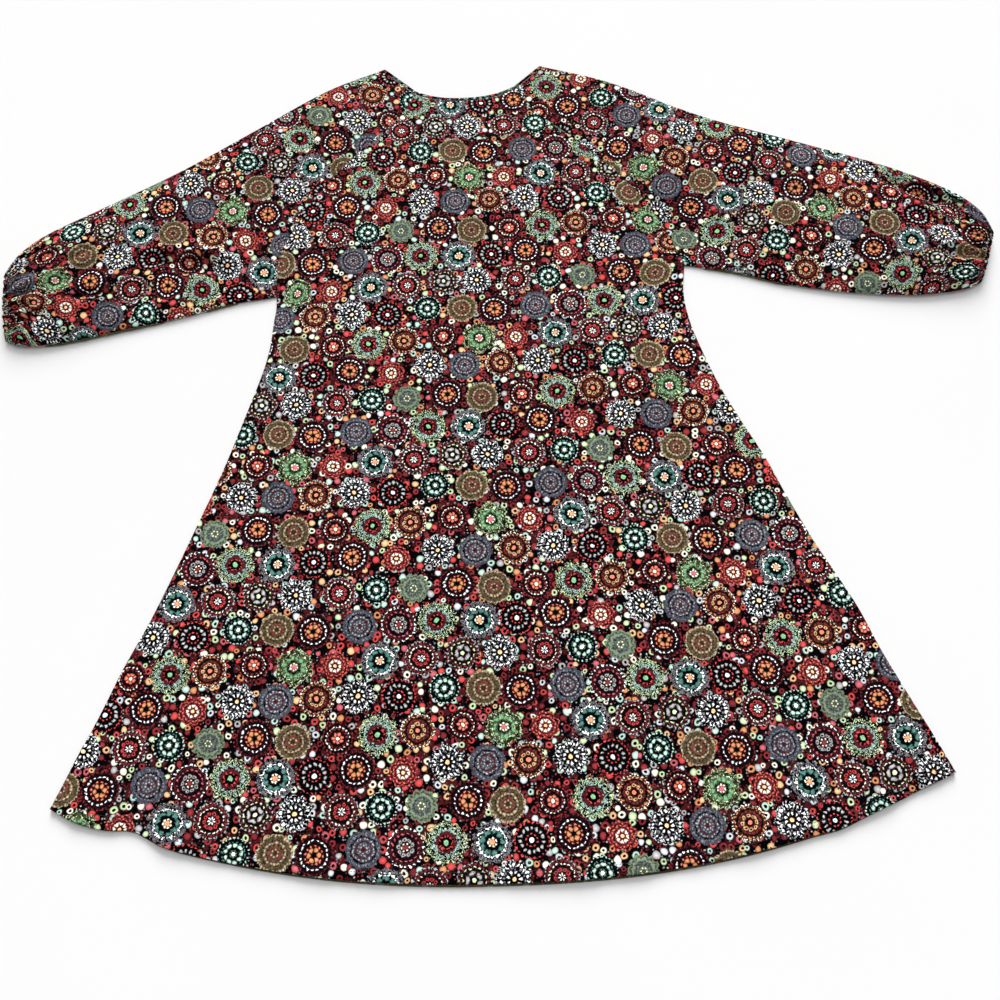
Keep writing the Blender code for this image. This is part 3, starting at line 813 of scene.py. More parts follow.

# %% [markdown]
# ## The rolled seam allowance
# Along the lower edge of each sleeve the overlocked seam has rolled out a little, and the duller
# wrong side of the cloth shows as a narrow band, its print darkened further as painted shade under
# the sleeve's edge. It is a soft roll of uneven thickness that tapers away at both ends.

# %% Underarm rolls
Roll = namedtuple("Roll", "side start end radius")
ROLLS = [
    Roll("left", 0.40, 0.85, 0.0016),
    Roll("left", 0.13, 0.25, 0.0011),
    Roll("right", 0.07, 0.36, 0.0012),
]
ROLL_SIDES = 14
ROLL_STEPS = 90
ROLL_CLOTH = (0.003, 0.2)    # cloth for each radian round a roll, and over its length


def capped_tubes(name, tubes, places, flip):
    """Tubes given as rings of points (tube, ring, point), each closed with a face at both ends."""
    count, rings, sides = tubes.shape[:3]
    index = np.arange(count * rings * sides).reshape(count, rings, sides)
    parts = []
    for k in range(count):
        parts.append(grid_faces(wrapped(index[k]), places[k], flip) + (0,))
        first, last = index[k, :1], index[k, -1:]
        start, end = (first, last[:, ::-1]) if flip else (first[:, ::-1], last)
        parts.append((start, places[k, :1, :-1], 0))
        parts.append((end, places[k, -1:, :-1], 0))
    return make_piece(name, tubes.reshape(-1, 3), parts)


def make_roll(name, roll):
    """A soft roll of uneven thickness just outside the underarm seam."""
    share = np.linspace(0, 1, ROLL_STEPS + 1)
    row = sleeve_row(roll.side, roll.start + (roll.end - roll.start) * share)
    size = roll.radius * np.sqrt(np.maximum(1 - np.abs(2 * share - 1) ** 5, 0.002))
    size = size * (1 + 0.13 * np.sin(share * 31.0) + 0.08 * np.sin(share * 67.0 + 1.0))
    path = moved_out(np.stack([row.under_x, row.under_y], -1), roll.radius * 0.1)
    angle = np.linspace(0, 2 * math.pi, ROLL_SIDES + 1)
    x = np.repeat(path[:, :1], ROLL_SIDES, 1)
    y = path[:, 1:2] + np.cos(angle[:-1]) * size[:, None]
    z = size[:, None] * (1.0 + np.sin(angle[:-1]) * 0.92)
    rings = on_side(roll.side, np.stack([x, y, z], -1))
    places = np.stack(np.meshgrid(angle * ROLL_CLOTH[0], share * ROLL_CLOTH[1]), -1)
    return capped_tubes(name, rings[None], places[None], roll.side == "left")


rolls = [make_roll("underarm_roll_%s_%d" % (roll.side, k), roll) for k, roll in enumerate(ROLLS)]

# %% [markdown]
# ## Stitches
# A knit hem is turned up once and sewn with two needles side by side, so that it can stretch. The
# casings and the binding have one row each. Each stitch is a short dark bar of thread pressed
# into the cloth. All the stitches of a row are joined in one mesh.

# %% Stitch rows
STITCH_PITCH = 0.0032
STITCH_LENGTH = 0.0026
THREAD = 0.00022          # radius
STITCH_SIDES = 6
STITCH_ENDS = [(-0.50, 0.35, -0.9), (-0.34, 0.95, 0.05), (0.0, 1.0, 0.35), (0.34, 0.95, 0.05),
               (0.50, 0.35, -0.9)]    # place along, thickness, lift in radii


def stitch_row(name, line):
    """A joined mesh of stitches along a line of surface points."""
    run = lengths_along(line)
    centres = np.arange(STITCH_PITCH / 2, run[-1], STITCH_PITCH)
    tubes = []
    angle = np.linspace(0, 2 * math.pi, STITCH_SIDES + 1)[:-1]
    for centre in centres:
        behind, ahead = [np.array([np.interp(centre + off, run, line[:, k]) for k in range(3)])
                         for off in (-0.0005, 0.0005)]
        middle = (ahead + behind) / 2
        forward = (ahead - behind) / np.linalg.norm(ahead - behind)
        sideways = np.cross((0, 0, 1), forward)
        sideways = sideways / np.linalg.norm(sideways)
        upward = np.cross(forward, sideways)
        rings = []
        for along, thick, lift in STITCH_ENDS:
            spot = middle + forward * along * STITCH_LENGTH + upward * lift * THREAD
            rings.append(spot + THREAD * thick * (np.cos(angle)[:, None] * sideways
                                                  + np.sin(angle)[:, None] * upward))
        tubes.append(rings)
    tubes = np.array(tubes)
    places = np.zeros(tubes.shape[:2] + (STITCH_SIDES + 1, 2))
    places[...] = np.linspace(0, 0.01, STITCH_SIDES + 1)[None, None, :, None]
    return capped_tubes(name, tubes, places, False)


def hem_line(up, top):
    """Surface points of the back panel at one distance up from its hem."""
    share = np.linspace(-0.994, 0.994, 700)[None, :]
    distance = np.array([[up]])
    x, y = panel_plan(BACK_RAGLAN, BACK_NECK, 0.0, distance, share)
    z = back_level(distance, share) + top
    return np.stack([x[0], y[0], z[0]], -1)


def casing_line(side, along):
    """Surface points over the top of a casing."""
    even = np.linspace(0.02, 0.98, 400)[None, :]
    ring = sleeve_face(side, np.array([[along]]), even, np.array([[0.0, 1.0]]), CASING_WALL, False)
    return on_side(side, ring[0, :even.size])


HEM_STITCH_UP = 0.0125
NEEDLE_GAP = 0.0030
CASING_STITCH_AT = 0.9785     # share of the sleeve's length
BINDING_STITCH_IN = 0.0014    # from the neck edge
stitches = []
for k in range(2):
    line = hem_line(HEM_STITCH_UP - NEEDLE_GAP * k, WALL + HEM_EXTRA)
    stitches.append(stitch_row("hem_stitches_%d" % k, line))
for side in ("left", "right"):
    stitches.append(stitch_row("casing_stitches_" + side, casing_line(side, CASING_STITCH_AT)))
binding_line = moved_out(back_neck, -BINDING_STITCH_IN)[1:-1]
binding_line = np.column_stack([binding_line, np.full(len(binding_line), BACK_LEVEL + WALL * 1.03)])
stitches.append(stitch_row("binding_stitches", binding_line))

# %% [markdown]
# ## Does the cloth lie on its solids?
# Every piece should lie within a millimetre of the solid that it stands for, and only a few points
# further off, where the cloth was pulled or creased by hand. A tree of the solid's faces gives the
# nearest distance from each point.

# %% Distance from the frame
PIECE_NODES = [(back_panel, "back_panel"), (front_panel, "front_panel"),
               (sleeves["left"], "sleeve_left"), (sleeves["right"], "sleeve_right"),
               (casings["left"], "cuff_left"), (casings["right"], "cuff_right"),
               (neck_binding, "neck_binding")]


def report_distance(piece, node):
    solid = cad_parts[node].data
    tree = BVHTree.FromPolygons([v.co for v in solid.vertices], [p.vertices for p in solid.polygons])
    away = [tree.find_nearest(v.co)[3] for v in list(piece.data.vertices)[::37]]
    print("%s from %s: mean %.2f mm, most %.2f mm"
          % (piece.name, node, 1000 * sum(away) / len(away), 1000 * max(away)))


for piece, node in PIECE_NODES:
    report_distance(piece, node)

# %% [markdown]
# ## Shader maths in Python
# A print made of nodes is easier to read as formulas. This class wraps one socket of a node tree.
# Its operators add Math nodes, or Vector Math nodes where a term is a vector, and its method
# `node` adds any other kind: first the node's settings, then the values or links of its sockets.

# %% The Wire class


class Wire:
    def __init__(self, tree, socket=None):
        self.tree = tree
        self.socket = socket

    def node(self, kind, settings=None, sockets=None, output=0):
        made = self.tree.nodes.new(kind)
        for name, value in (settings or {}).items():
            if name == "stops":
                fill_ramp(made.color_ramp, value)
            else:
                setattr(made, name, value)
        for name, value in (sockets or {}).items():
            if isinstance(value, Wire):
                self.tree.links.new(value.socket, made.inputs[name])
            else:
                made.inputs[name].default_value = value
        return Wire(self.tree, made.outputs[output] if made.outputs else None)

    def other(self, output):
        """Another output of the node that this wire comes from."""
        return Wire(self.tree, self.socket.node.outputs[output])

    def feed(self, socket):
        """Link this wire to a socket that is there already."""
        self.tree.links.new(self.socket, socket)

    def maths(self, operation, *others, flipped=False):
        terms = [self] + list(others)
        if flipped:
            terms.reverse()
        vector = any(isinstance(t, tuple) or (isinstance(t, Wire) and t.socket.type != "VALUE")
                     for t in terms)
        if vector:
            terms = [(t, t, t) if isinstance(t, (int, float)) else t for t in terms]
        kind = "ShaderNodeVectorMath" if vector else "ShaderNodeMath"
        output = 1 if operation in ("LENGTH", "DISTANCE", "DOT_PRODUCT") else 0
        return self.node(kind, {"operation": operation}, dict(enumerate(terms)), output)

    def __add__(self, other):
        return self.maths("ADD", other)

    def __sub__(self, other):
        return self.maths("SUBTRACT", other)

    def __mul__(self, other):
        return self.maths("MULTIPLY", other)

    def __truediv__(self, other):
        return self.maths("DIVIDE", other)

    def __radd__(self, other):
        return self.maths("ADD", other, flipped=True)

    def __rsub__(self, other):
        return self.maths("SUBTRACT", other, flipped=True)


def fill_ramp(ramp, stops):
    """Stops are the way to blend and a list of places and colours."""
    ramp.interpolation, colours = stops
    while len(ramp.elements) < len(colours):
        ramp.elements.new(1.0)
    for element, (position, colour) in zip(ramp.elements, colours):
        element.position = position
        element.color = colour


def between(low, high, value):
    """0 below low, 1 above high, smooth in between."""
    return value.node("ShaderNodeMapRange", {"interpolation_type": "SMOOTHSTEP"},
                      {"Value": value, "From Min": low, "From Max": high})


MIX_SOCKETS = {"FLOAT": (2, 3, 0), "VECTOR": (4, 5, 1), "RGBA": (6, 7, 2)}


def mixed(kind, share, first, second):
    """The first where the share is 0, the second where it is 1."""
    a, b, output = MIX_SOCKETS[kind]
    wire = next(value for value in (share, first, second) if isinstance(value, Wire))
    return wire.node("ShaderNodeMix", {"data_type": kind}, {0: share, a: first, b: second}, output)


def axis(vector, output):
    return vector.node("ShaderNodeSeparateXYZ", None, {0: vector}, output)


def noise(place, scale, detail, output=0):
    """Cloudy unevenness from 0 to 1, or three of them at once as a colour."""
    return place.node("ShaderNodeTexNoise", {"noise_dimensions": "2D"},
                      {"Vector": place, "Scale": scale, "Detail": detail}, output)


def paint(hexes, alpha=1.0):
    """A printed colour, written as in a paint chart, in the linear values that shaders use."""
    values = [int(hexes[k:k + 2], 16) / 255 for k in (0, 2, 4)]
    return tuple(v / 12.92 if v <= 0.04045 else ((v + 0.055) / 1.055) ** 2.4
                 for v in values) + (alpha,)


# %% [markdown]
# ## The print: where the motifs sit
# The cloth is covered with small round motifs, packed as closely as coins on a tray. Printed cloth
# repeats, so only one block has to be laid out. The chart below is that block: each letter is a
# motif, in rows that are offset like bricks. A short loop then pushes apart the circles that
# overlap, going round the block's edges, so that the repeat has no visible join.

# %% Motifs and chart
PALETTE = {
    "black": "070609", "wine": "260f15", "maroon": "4b171b", "garnet": "7b252b",
    "crimson": "922b2f", "red": "c83e3c", "coral": "de7258", "orange": "d48c59", "amber": "e8b884",
    "cream": "f4eedc", "white": "fafbfa", "pearl": "d3d8de", "lilac": "88888f", "slate": "484a55",
    "grey": "b4b2b2", "teal": "53827a", "mint": "bcdacc", "green": "78a87a", "lime": "c8dcae",
    "khaki": "5e4d39", "straw": "b4a484", "sage": "6c7a66", "moss": "434b33", "rose": "c25a64",
    "brown": "3a1f1b",
}
Mark = namedtuple("Mark", "slots breadth length hole")
MARKS = {                 # slots of the radius that a ring takes; sizes in shares of its cell
    "solid": Mark(1, 1.00, 1.00, 0.0),
    "line": Mark(1, 1.00, 0.26, 0.0),
    "dots": Mark(1, 0.40, 0.44, 0.0),
    "seeds": Mark(1, 0.29, 0.36, 0.0),
    "dashes": Mark(2, 0.28, 0.80, 0.0),
    "petals": Mark(2, 0.44, 0.92, 0.0),
    "links": Mark(2, 0.43, 0.78, 0.46),
}
SLOTS = 8                 # rings between a motif's centre and its rim
# Radius in mm, petals of the rim and their depth, unevenness, the colour between the marks, rings.
Motif = namedtuple("Motif", "radius petals depth wobble ground rings")
MOTIFS = {
    "P": Motif(19.0, 9, 0.18, 0.35, "black",
               "amber solid, black line, white dashes 9, lilac seeds 16, white dashes 22, pearl seeds 30"),
    "K": Motif(18.5, 0, 0.00, 0.30, "khaki",
               "brown solid, straw seeds 6, garnet line, brown seeds 12, straw dots 17, brown seeds 22,"
               "moss seeds 27, straw dots 32"),
    "E": Motif(20.0, 0, 0.00, 0.26, "wine",
               "black solid, orange petals 6, coral seeds 12, black line, white seeds 19, black line,"
               "garnet seeds 26"),
    "M": Motif(16.5, 0, 0.00, 0.26, "black",
               "cream solid, teal dots 7, black line, mint petals 9, teal seeds 18, black line,"
               "mint seeds 24"),
    "B": Motif(18.5, 0, 0.00, 0.30, "wine",
               "white dashes 7, red links 9, black line, cream seeds 19, garnet dots 24, grey seeds 27"),
    "T": Motif(18.5, 0, 0.00, 0.35, "slate",
               "maroon dots 1, grey seeds 6, lilac seeds 11, maroon line, grey seeds 18, black line,"
               "lilac seeds 26, slate line"),
    "L": Motif(20.5, 0, 0.00, 0.55, "black",
               "orange solid, cream dots 7, black line, teal petals 9, white dots 20, lilac links 15"),
    "U": Motif(20.5, 6, 0.20, 0.60, "moss",
               "rose solid, cream dots 7, black line, green petals 12, lime seeds 19, black line,"
               "lime seeds 27"),
    "V": Motif(18.5, 0, 0.00, 0.28, "black",
               "pearl solid, black solid, red seeds 9, black line, grey dashes 15, black line,"
               "red seeds 24"),
    "G": Motif(15.5, 8, 0.20, 0.26, "garnet",
               "amber solid, black line, cream petals 8, black line, coral seeds 16, black line,"
               "coral seeds 24"),
    "C": Motif(18.5, 5, 0.14, 0.26, "wine",
               "lime solid, black line, grey petals 5, black line, lime seeds 15, garnet seeds 20,"
               "grey seeds 25"),
    "W": Motif(19.5, 0, 0.00, 0.28, "wine",
               "garnet solid, cream seeds 6, grey links 9, black line, rose seeds 17, maroon line,"
               "white seeds 24"),
    "S": Motif(17.0, 12, 0.20, 0.20, "sage",
               "moss solid, cream seeds 6, moss line, slate petals 12, sage solid, moss dots 24, sage line"),
    "R": Motif(17.0, 0, 0.00, 0.30, "wine",
               "cream dots 1, coral petals 7, black line, crimson seeds 14, cream seeds 20, black line,"
               "crimson seeds 24"),
    "O": Motif(18.5, 0, 0.00, 0.30, "brown",
               "coral solid, black line, amber links 8, garnet dots 16, black line, orange seeds 21,"
               "cream seeds 28"),
    "F": Motif(20.5, 0, 0.00, 0.85, "black",
               "green solid, black line, red seeds 9, maroon solid, mint links 13, lime dashes 24"),
}
CHART = ["PBMSE",
         "VEGPT",
         "KRFOR",
         "OPVMK",
         "UGLBC",
         "ETWFL"]         # arranged so that like motifs lie far apart
COLUMNS = 5
ROWS = 6
DROP = 2                  # rows by which the next block along is lowered
PITCH_X = 0.0440          # between motifs in a row
PITCH_Y = 0.0382          # between rows
REACH = 0.020             # twice the most that a motif may be moved from its place
BLOCK_SHIFTS = [(a * COLUMNS * PITCH_X, (b * ROWS - a * DROP) * PITCH_Y)
                for a in (-1, 0, 1) for b in (-1, 0, 1)]
KEYS = list(MOTIFS)
LAYOUT_SEED = 11
FIRST_SHIFT = 0.004       # the most by which a motif starts off its place
PUSH_ROUNDS = 160
PUSH = 0.22               # share of an overlap that one round takes away
RIM_GAP = 0.0012


def lay_out():
    """Motif centres in the block: where the chart has them, and pushed apart. Also their radii."""
    rng = random.Random(LAYOUT_SEED)
    homes = []
    radii = []
    for row in range(ROWS):
        for column in range(COLUMNS):
            homes.append(((column + (row % 2) / 2) * PITCH_X, row * PITCH_Y))
            radii.append(MOTIFS[CHART[row][column]].radius / 1000)
    homes = np.array(homes)
    radii = np.array(radii)
    spots = homes + np.array([[rng.uniform(-FIRST_SHIFT, FIRST_SHIFT) for _ in range(2)] for _ in homes])
    for _ in range(PUSH_ROUNDS):
        push = np.zeros_like(spots)
        for shift in BLOCK_SHIFTS:
            gap = spots[:, None] - (spots[None] + shift)
            apart = np.hypot(gap[..., 0], gap[..., 1])
            apart[apart < 1e-6] = 1.0       # a motif doesn't push itself
            want = radii[:, None] + radii[None] + RIM_GAP
            need = np.clip(want - apart, 0, None)
            push += (gap / apart[..., None] * need[..., None]).sum(1)
        spots = spots + push * PUSH
        spots = homes + np.clip(spots - homes, -REACH / 2 * 0.98, REACH / 2 * 0.98)
    return homes, spots, radii


homes, spots, radii = lay_out()
cover = math.pi * (radii ** 2).sum() / (COLUMNS * ROWS * PITCH_X * PITCH_Y)
print("block %.0f x %.0f mm, motifs cover %.0f%%"
      % (COLUMNS * PITCH_X * 1000, ROWS * PITCH_Y * 1000, cover * 100))

# %% [markdown]
# ## The print: what each motif looks like
# A motif is a row of rings, read from the centre outwards: "amber dots 14" is a ring of fourteen
# amber dots. Drawing each one with its own nodes would take thousands. Instead, colour ramps
# with flat steps serve as look-up tables: one for the block's layout, one each for the motifs'
# outlines and grounds, four for the rings' colours and four for their marks. Then one set of
# formulas draws every motif on the cloth.

# %% Look-up tables
TABLE = 32                # the most stops that a ramp can hold
MOST_MARKS = 64           # a ramp's colours hold 0 to 1, so the tables' values are divided by these
MOST_LENGTH = 2.0
MOST_OFFSET = 4.0
MOST_PETALS = 16.0
MOST_RADIUS = 25.0        # millimetres


def flat_steps(entries):
    """Stops of a look-up ramp, one flat step for each entry."""
    return ("CONSTANT", [(k / TABLE, entry) for k, entry in enumerate(entries)])


def ring_entries(motif):
    """For each slot of the radius: the colour and hole, and count, breadth, offset and length."""
    colours = []
    marks = []
    for words in (text.split() for text in motif.rings.split(",")):
        colour, mark = words[0], MARKS[words[1]]
        number = int(words[2]) if len(words) > 2 else 1
        solid = words[1] == "solid"
        slots = number if solid else mark.slots
        for k in range(slots):
            offset = 0.0 if solid else k - (slots - 1) / 2
            count = 1 if solid else number
            length = MOST_LENGTH if solid else mark.length
            colours.append(paint(PALETTE[colour], mark.hole))
            marks.append((count / MOST_MARKS, mark.breadth, 0.5 + offset / MOST_OFFSET,
                          length / MOST_LENGTH))
    assert len(colours) == SLOTS, motif
    return colours, marks


ring_colours = []
ring_marks = []
for key in KEYS:
    colours, marks = ring_entries(MOTIFS[key])
    ring_colours += colours
    ring_marks += marks
layout = []
for k, key in enumerate("".join(CHART)):
    shift = (spots[k] - homes[k]) / REACH + 0.5
    layout.append((shift[0], shift[1], KEYS.index(key) / len(KEYS), MOTIFS[key].radius / MOST_RADIUS))
grounds = [paint(PALETTE[MOTIFS[key].ground], MOTIFS[key].wobble) for key in KEYS]
TURN_STEP = 0.37          # each kind of motif is turned by this much more than the last
outlines = [(MOTIFS[key].petals / MOST_PETALS, MOTIFS[key].depth, (k * TURN_STEP) % 1.0, 1.0)
            for k, key in enumerate(KEYS)]
print(len(KEYS), "motifs,", len(ring_colours), "ring slots")

# %% [markdown]
# The node group finds the motif first. A point of the cloth lies between two rows of the block
# and, in each row, between two places. Of those four motifs the nearest rim wins. Polar
# coordinates about its centre then give the slot, and the slot's marks are small ellipses.

# %% The print as a node group
TURN_WOBBLE = 0.16        # how much the noise turns the marks, moves the rings, sizes the marks,
RING_WOBBLE = 0.85        # and lightens the marks and the ground between them
SIZE_WOBBLE = 0.9
LIGHT_WOBBLE = 1.1
GROUND_WOBBLE = 2.4


def look_up(index, entries):
    """The colour of a table's entry, and by its other output the alpha."""
    position = (index + 0.5) / TABLE
    return index.node("ShaderNodeValToRGB", {"stops": flat_steps(entries)}, {0: position})


def nearest_motif(cut):
    """Vector from the nearest motif's centre (its number is in z) and that motif's radius."""
    spot = cut + (REACH / 2, REACH / 2, 0.0)
    u, v = axis(cut, 0), axis(cut, 1)
    first_row = (v / PITCH_Y).maths("FLOOR")
    best = None
    for down in (0, 1):
        row = first_row + down
        brick = (row * 0.5).maths("FRACT")
        first_column = (u / PITCH_X - brick).maths("FLOOR")
        for right in (0, 1):
            column = first_column + right
            block = (column / COLUMNS).maths("FLOOR")
            place = column - block * COLUMNS + (row + block * DROP).maths("FLOORED_MODULO",
                                                                        float(ROWS)) * COLUMNS
            entry = look_up(place, layout)
            radius = entry.other(1) * (MOST_RADIUS / 1000)
            corner = column.node("ShaderNodeCombineXYZ", None, {0: column + brick, 1: row})
            centre = entry.maths("MULTIPLY_ADD", (REACH, REACH, 1.0), corner * (PITCH_X, PITCH_Y, 0.0))
            gap = spot * (1.0, 1.0, 0.0) - centre
            rim = (gap * (1.0, 1.0, 0.0)).maths("LENGTH") - radius
            if best is None:
                best = (rim, gap, radius)
                continue
            nearer = rim.maths("LESS_THAN", best[0])
            best = (rim.maths("MINIMUM", best[0]), mixed("VECTOR", nearer, best[1], gap),
                    mixed("FLOAT", nearer, best[2], radius))
    return best[1], best[2]


def ring_table(index, entries):
    """One entry of a table longer than a ramp: its colour and its alpha."""
    group = (index / TABLE).maths("FLOOR")
    inside = index - group * TABLE
    colour = None
    for k in range(len(entries) // TABLE):
        found = look_up(inside, entries[k * TABLE:(k + 1) * TABLE])
        if colour is None:
            colour, alpha = found, found.other(1)
            continue
        here = group.maths("GREATER_THAN", k - 0.5)
        colour = mixed("RGBA", here, colour, found)
        alpha = mixed("FLOAT", here, alpha, found.other(1))
    return colour, alpha


def draw_motifs(cut, below):
    """Rosettes over the ground and the loose beads."""
    gap, radius = nearest_motif(cut)
    x, y = axis(gap, 0), axis(gap, 1)
    number = (axis(gap, 2) * -float(len(KEYS)) + 0.5).maths("FLOOR")
    outline = look_up(number, outlines)
    ground = look_up(number, grounds)
    wobble = ground.other(1)
    shake = noise(cut, 330.0, 1.0, "Color") - (0.5, 0.5, 0.5)
    turns = y.maths("ARCTAN2", x) / (2 * math.pi) + 0.5 + axis(outline, 2)
    turns = turns + axis(shake, 0) * wobble * TURN_WOBBLE
    petals = (axis(outline, 0) * MOST_PETALS * math.pi * turns).maths("COSINE").maths("ABSOLUTE")
    reach = 1.0 - axis(outline, 1) * (1.0 - petals.maths("POWER", 0.6))
    # The rim's reach gives the motif its petals, and the shake makes the rings uneven by hand.
    flat = (gap * (1.0, 1.0, 0.0)).maths("LENGTH") / radius
    slot_at = (flat / reach + axis(shake, 1) * wobble * RING_WOBBLE * flat) * SLOTS
    slot = slot_at.maths("FLOOR").maths("MINIMUM", SLOTS - 1.0)
    entry = number * SLOTS + slot
    colour, hole = ring_table(entry, ring_colours)
    marks, length = ring_table(entry, ring_marks)
    count = (axis(marks, 0) * MOST_MARKS + 0.5).maths("FLOOR")
    offset = (axis(marks, 2) - 0.5) * MOST_OFFSET
    along = (slot_at - slot - 0.5 + offset) / (length * MOST_LENGTH)
    around = ((turns * count).maths("FRACT") - 0.5) / axis(marks, 1)
    size = (along * along + around * around * between(1.0, 2.0, count)).maths("SQRT")
    size = size * (1.0 + axis(shake, 2) * SIZE_WOBBLE)
    mark = 1.0 - between(0.86, 1.10, size)
    mark = mark * between(hole * 0.85 - 0.02, hole * 1.15 + 0.01, size)
    # Each mark is brighter in the middle and on one side, like a daub of thick paint.
    light = 1.50 - size * 0.86 + (along - around) * 0.16 + axis(shake, 2) * LIGHT_WOBBLE
    drawn = mixed("RGBA", mark, ground * (1.0 + axis(shake, 2) * GROUND_WOBBLE), colour * light)
    inside = 1.0 - between(SLOTS - 0.12, SLOTS + 0.12, slot_at)
    return mixed("RGBA", inside, below, drawn)


# %% [markdown]
# Between the motifs lie pinhead dots and loose beads on black and wine, many beads with a dark
# hole. A Voronoi texture scatters them: each of its cells is one bead.

# %% Loose beads and the ground
BEAD_CELL = 0.0098        # metres between beads, and between dots
DOT_CELL = 0.0036
HOLE = 0.42               # share of a bead's radius that its hole takes
BEAD_PAINTS = ["red", "crimson", "cream", "garnet", "orange", "lime", "grey", "rose", "mint",
               "amber", "cream", "crimson", "red", "lime", "pearl", "garnet"]
DOT_PAINTS = ["maroon", "black", "crimson", "black", "grey", "black", "lilac", "garnet"]
INK_SPREAD = 0.0016       # how far the print's edges wander
INK_WEIGHT = 1.07         # gamma: above 1, the ink is a little heavier
INK_STRENGTH = 0.95       # share of the saturation that the knit leaves


def scattered(cut, cell, paints, low, high, hole_share):
    """Beads of low to high shares of a cell: their colour, where they are, the shade round them."""
    cells = cut.node("ShaderNodeTexVoronoi", {"voronoi_dimensions": "2D"},
                     {"Vector": cut, "Scale": 1 / cell, "Randomness": 0.72}, "Distance")
    chance = cells.other("Color")
    radius = axis(chance, 0) * (high - low) + low
    size = cells / radius
    steps = [(k / len(paints), paint(PALETTE[name])) for k, name in enumerate(paints)]
    colour = chance.node("ShaderNodeValToRGB", {"stops": ("CONSTANT", steps)}, {0: axis(chance, 1)})
    hollow = axis(chance, 2).maths("LESS_THAN", hole_share) * HOLE
    bead = 1.0 - between(0.84, 1.08, size)
    bead = bead * between(hollow - 0.06, hollow + 0.08, size)
    return colour * (1.5 - size * 0.85), bead, 1.0 - between(1.0, 1.5, size)


def draw_ground(cut):
    """Wine patches on black, pinhead dots, and loose beads with a dark shade round each."""
    patch = between(0.55, 0.62, noise(cut, 75.0, 1.0))
    ground = mixed("RGBA", patch, paint(PALETTE["black"]), paint(PALETTE["maroon"]))
    dots, dot = scattered(cut, DOT_CELL, DOT_PAINTS, low=0.18, high=0.34, hole_share=0.1)[:2]
    ground = mixed("RGBA", dot, ground, dots)
    beads, bead, shade = scattered(cut, BEAD_CELL, BEAD_PAINTS, low=0.28, high=0.43, hole_share=0.62)
    ground = ground * (1.0 - shade * 0.75)
    return mixed("RGBA", bead, ground, beads)


def make_print():
    """From the place in the cut to the printed colour."""
    group = bpy.data.node_groups.new("bead print", "ShaderNodeTree")
    group.interface.new_socket("Cut", in_out="INPUT", socket_type="NodeSocketVector")
    group.interface.new_socket("Colour", in_out="OUTPUT", socket_type="NodeSocketColor")
    cut = Wire(group).node("NodeGroupInput")
    shake = noise(cut, 160.0, 0.0, "Color") - (0.5, 0.5, 0.5)
    shaken = shake.maths("MULTIPLY_ADD", (INK_SPREAD, INK_SPREAD, 0.0), cut)
    colour = draw_motifs(shaken, draw_ground(shaken))
    colour = colour * (noise(cut, 14.0, 2.0) * 0.30 + 1.08)
    colour = colour.node("ShaderNodeGamma", None, {"Color": colour, "Gamma": INK_WEIGHT})
    colour = colour.node("ShaderNodeHueSaturation", None, {"Color": colour, "Saturation": INK_STRENGTH})
    colour.node("NodeGroupOutput", None, {0: colour})
    print("the print takes", len(group.nodes), "nodes")
    return group


bead_print = make_print()

# %% [markdown]
# ## Finishes
# The jersey is matt with a faint sheen, and a fine knit shows only close up: columns of small V
# loops, here a bump. The wrong side is the same cloth with the print barely showing through, and
# there, on the neck binding and on the rolled allowance the print is darkened as painted shade.

# %% Cloth materials
WALE = 0.00095            # one column of knit loops
COURSE = 0.00070          # one row of them


def knit_height(cut):
    """V-shaped loops in columns."""
    column = axis(cut, 0) / WALE
    lean = (column.maths("FRACT") - 0.5).maths("ABSOLUTE")
    loop = ((axis(cut, 1) / COURSE + lean) * (2 * math.pi)).maths("SINE")
    return loop * 0.5 + lean * 1.6


def new_material(name, roughness, specular):
    """A material, the sockets of its surface, and a wire to build on."""
    material = bpy.data.materials.new(name)
    material.use_nodes = True
    surface = material.node_tree.nodes["Principled BSDF"].inputs
    surface["Roughness"].default_value = roughness
    surface["Specular IOR Level"].default_value = specular
    return material, surface, Wire(material.node_tree)


def cloth_material(name, painted_shade_factor, fading=0.0):
    """The print, darkened as painted shade by the factor; on the wrong side most of it fades to the bare
    yarn.
    """
    material, surface, wire = new_material(name, roughness=0.78, specular=0.010)
    cut = wire.node("ShaderNodeUVMap", {"uv_map": "cut"})
    # Below 1, the factor darkens the print as painted shade.
    colour = cut.node("ShaderNodeGroup", {"node_tree": bead_print}, {0: cut}) * painted_shade_factor
    if fading:
        yarn = mixed("RGBA", noise(cut, 420.0, 2.0), paint("3c3a28"), paint("6e6c4c"))
        colour = mixed("RGBA", fading, colour, yarn)
    colour.feed(surface["Base Color"])
    bump = cut.node("ShaderNodeBump", None,
                    {"Strength": 0.25, "Distance": 0.00025, "Height": knit_height(cut)})
    bump.feed(surface["Normal"])
    surface["Sheen Weight"].default_value = 0.002
    surface["Sheen Roughness"].default_value = 0.5
    return material


def thread_material():
    material, surface, wire = new_material("dark thread", roughness=0.6, specular=0.5)
    cut = wire.node("ShaderNodeUVMap", {"uv_map": "cut"})
    ply = cut.node("ShaderNodeTexNoise", None, {"Vector": cut, "Scale": 2500.0})
    mixed("RGBA", ply, paint("120f14"), paint("2c2026")).feed(surface["Base Color"])
    return material


right_side = cloth_material("printed jersey", painted_shade_factor=1.0)
# The wrong side: the duller yarn with a faint print, and that print darkened as painted shade.
wrong_side_with_painted_shade = cloth_material("jersey wrong side with painted shade", painted_shade_factor=0.55, fading=0.72)
# The binding is the same print, darkened as painted shade along the neck edge.
binding_with_painted_shade = cloth_material("jersey binding with painted shade", painted_shade_factor=0.55)
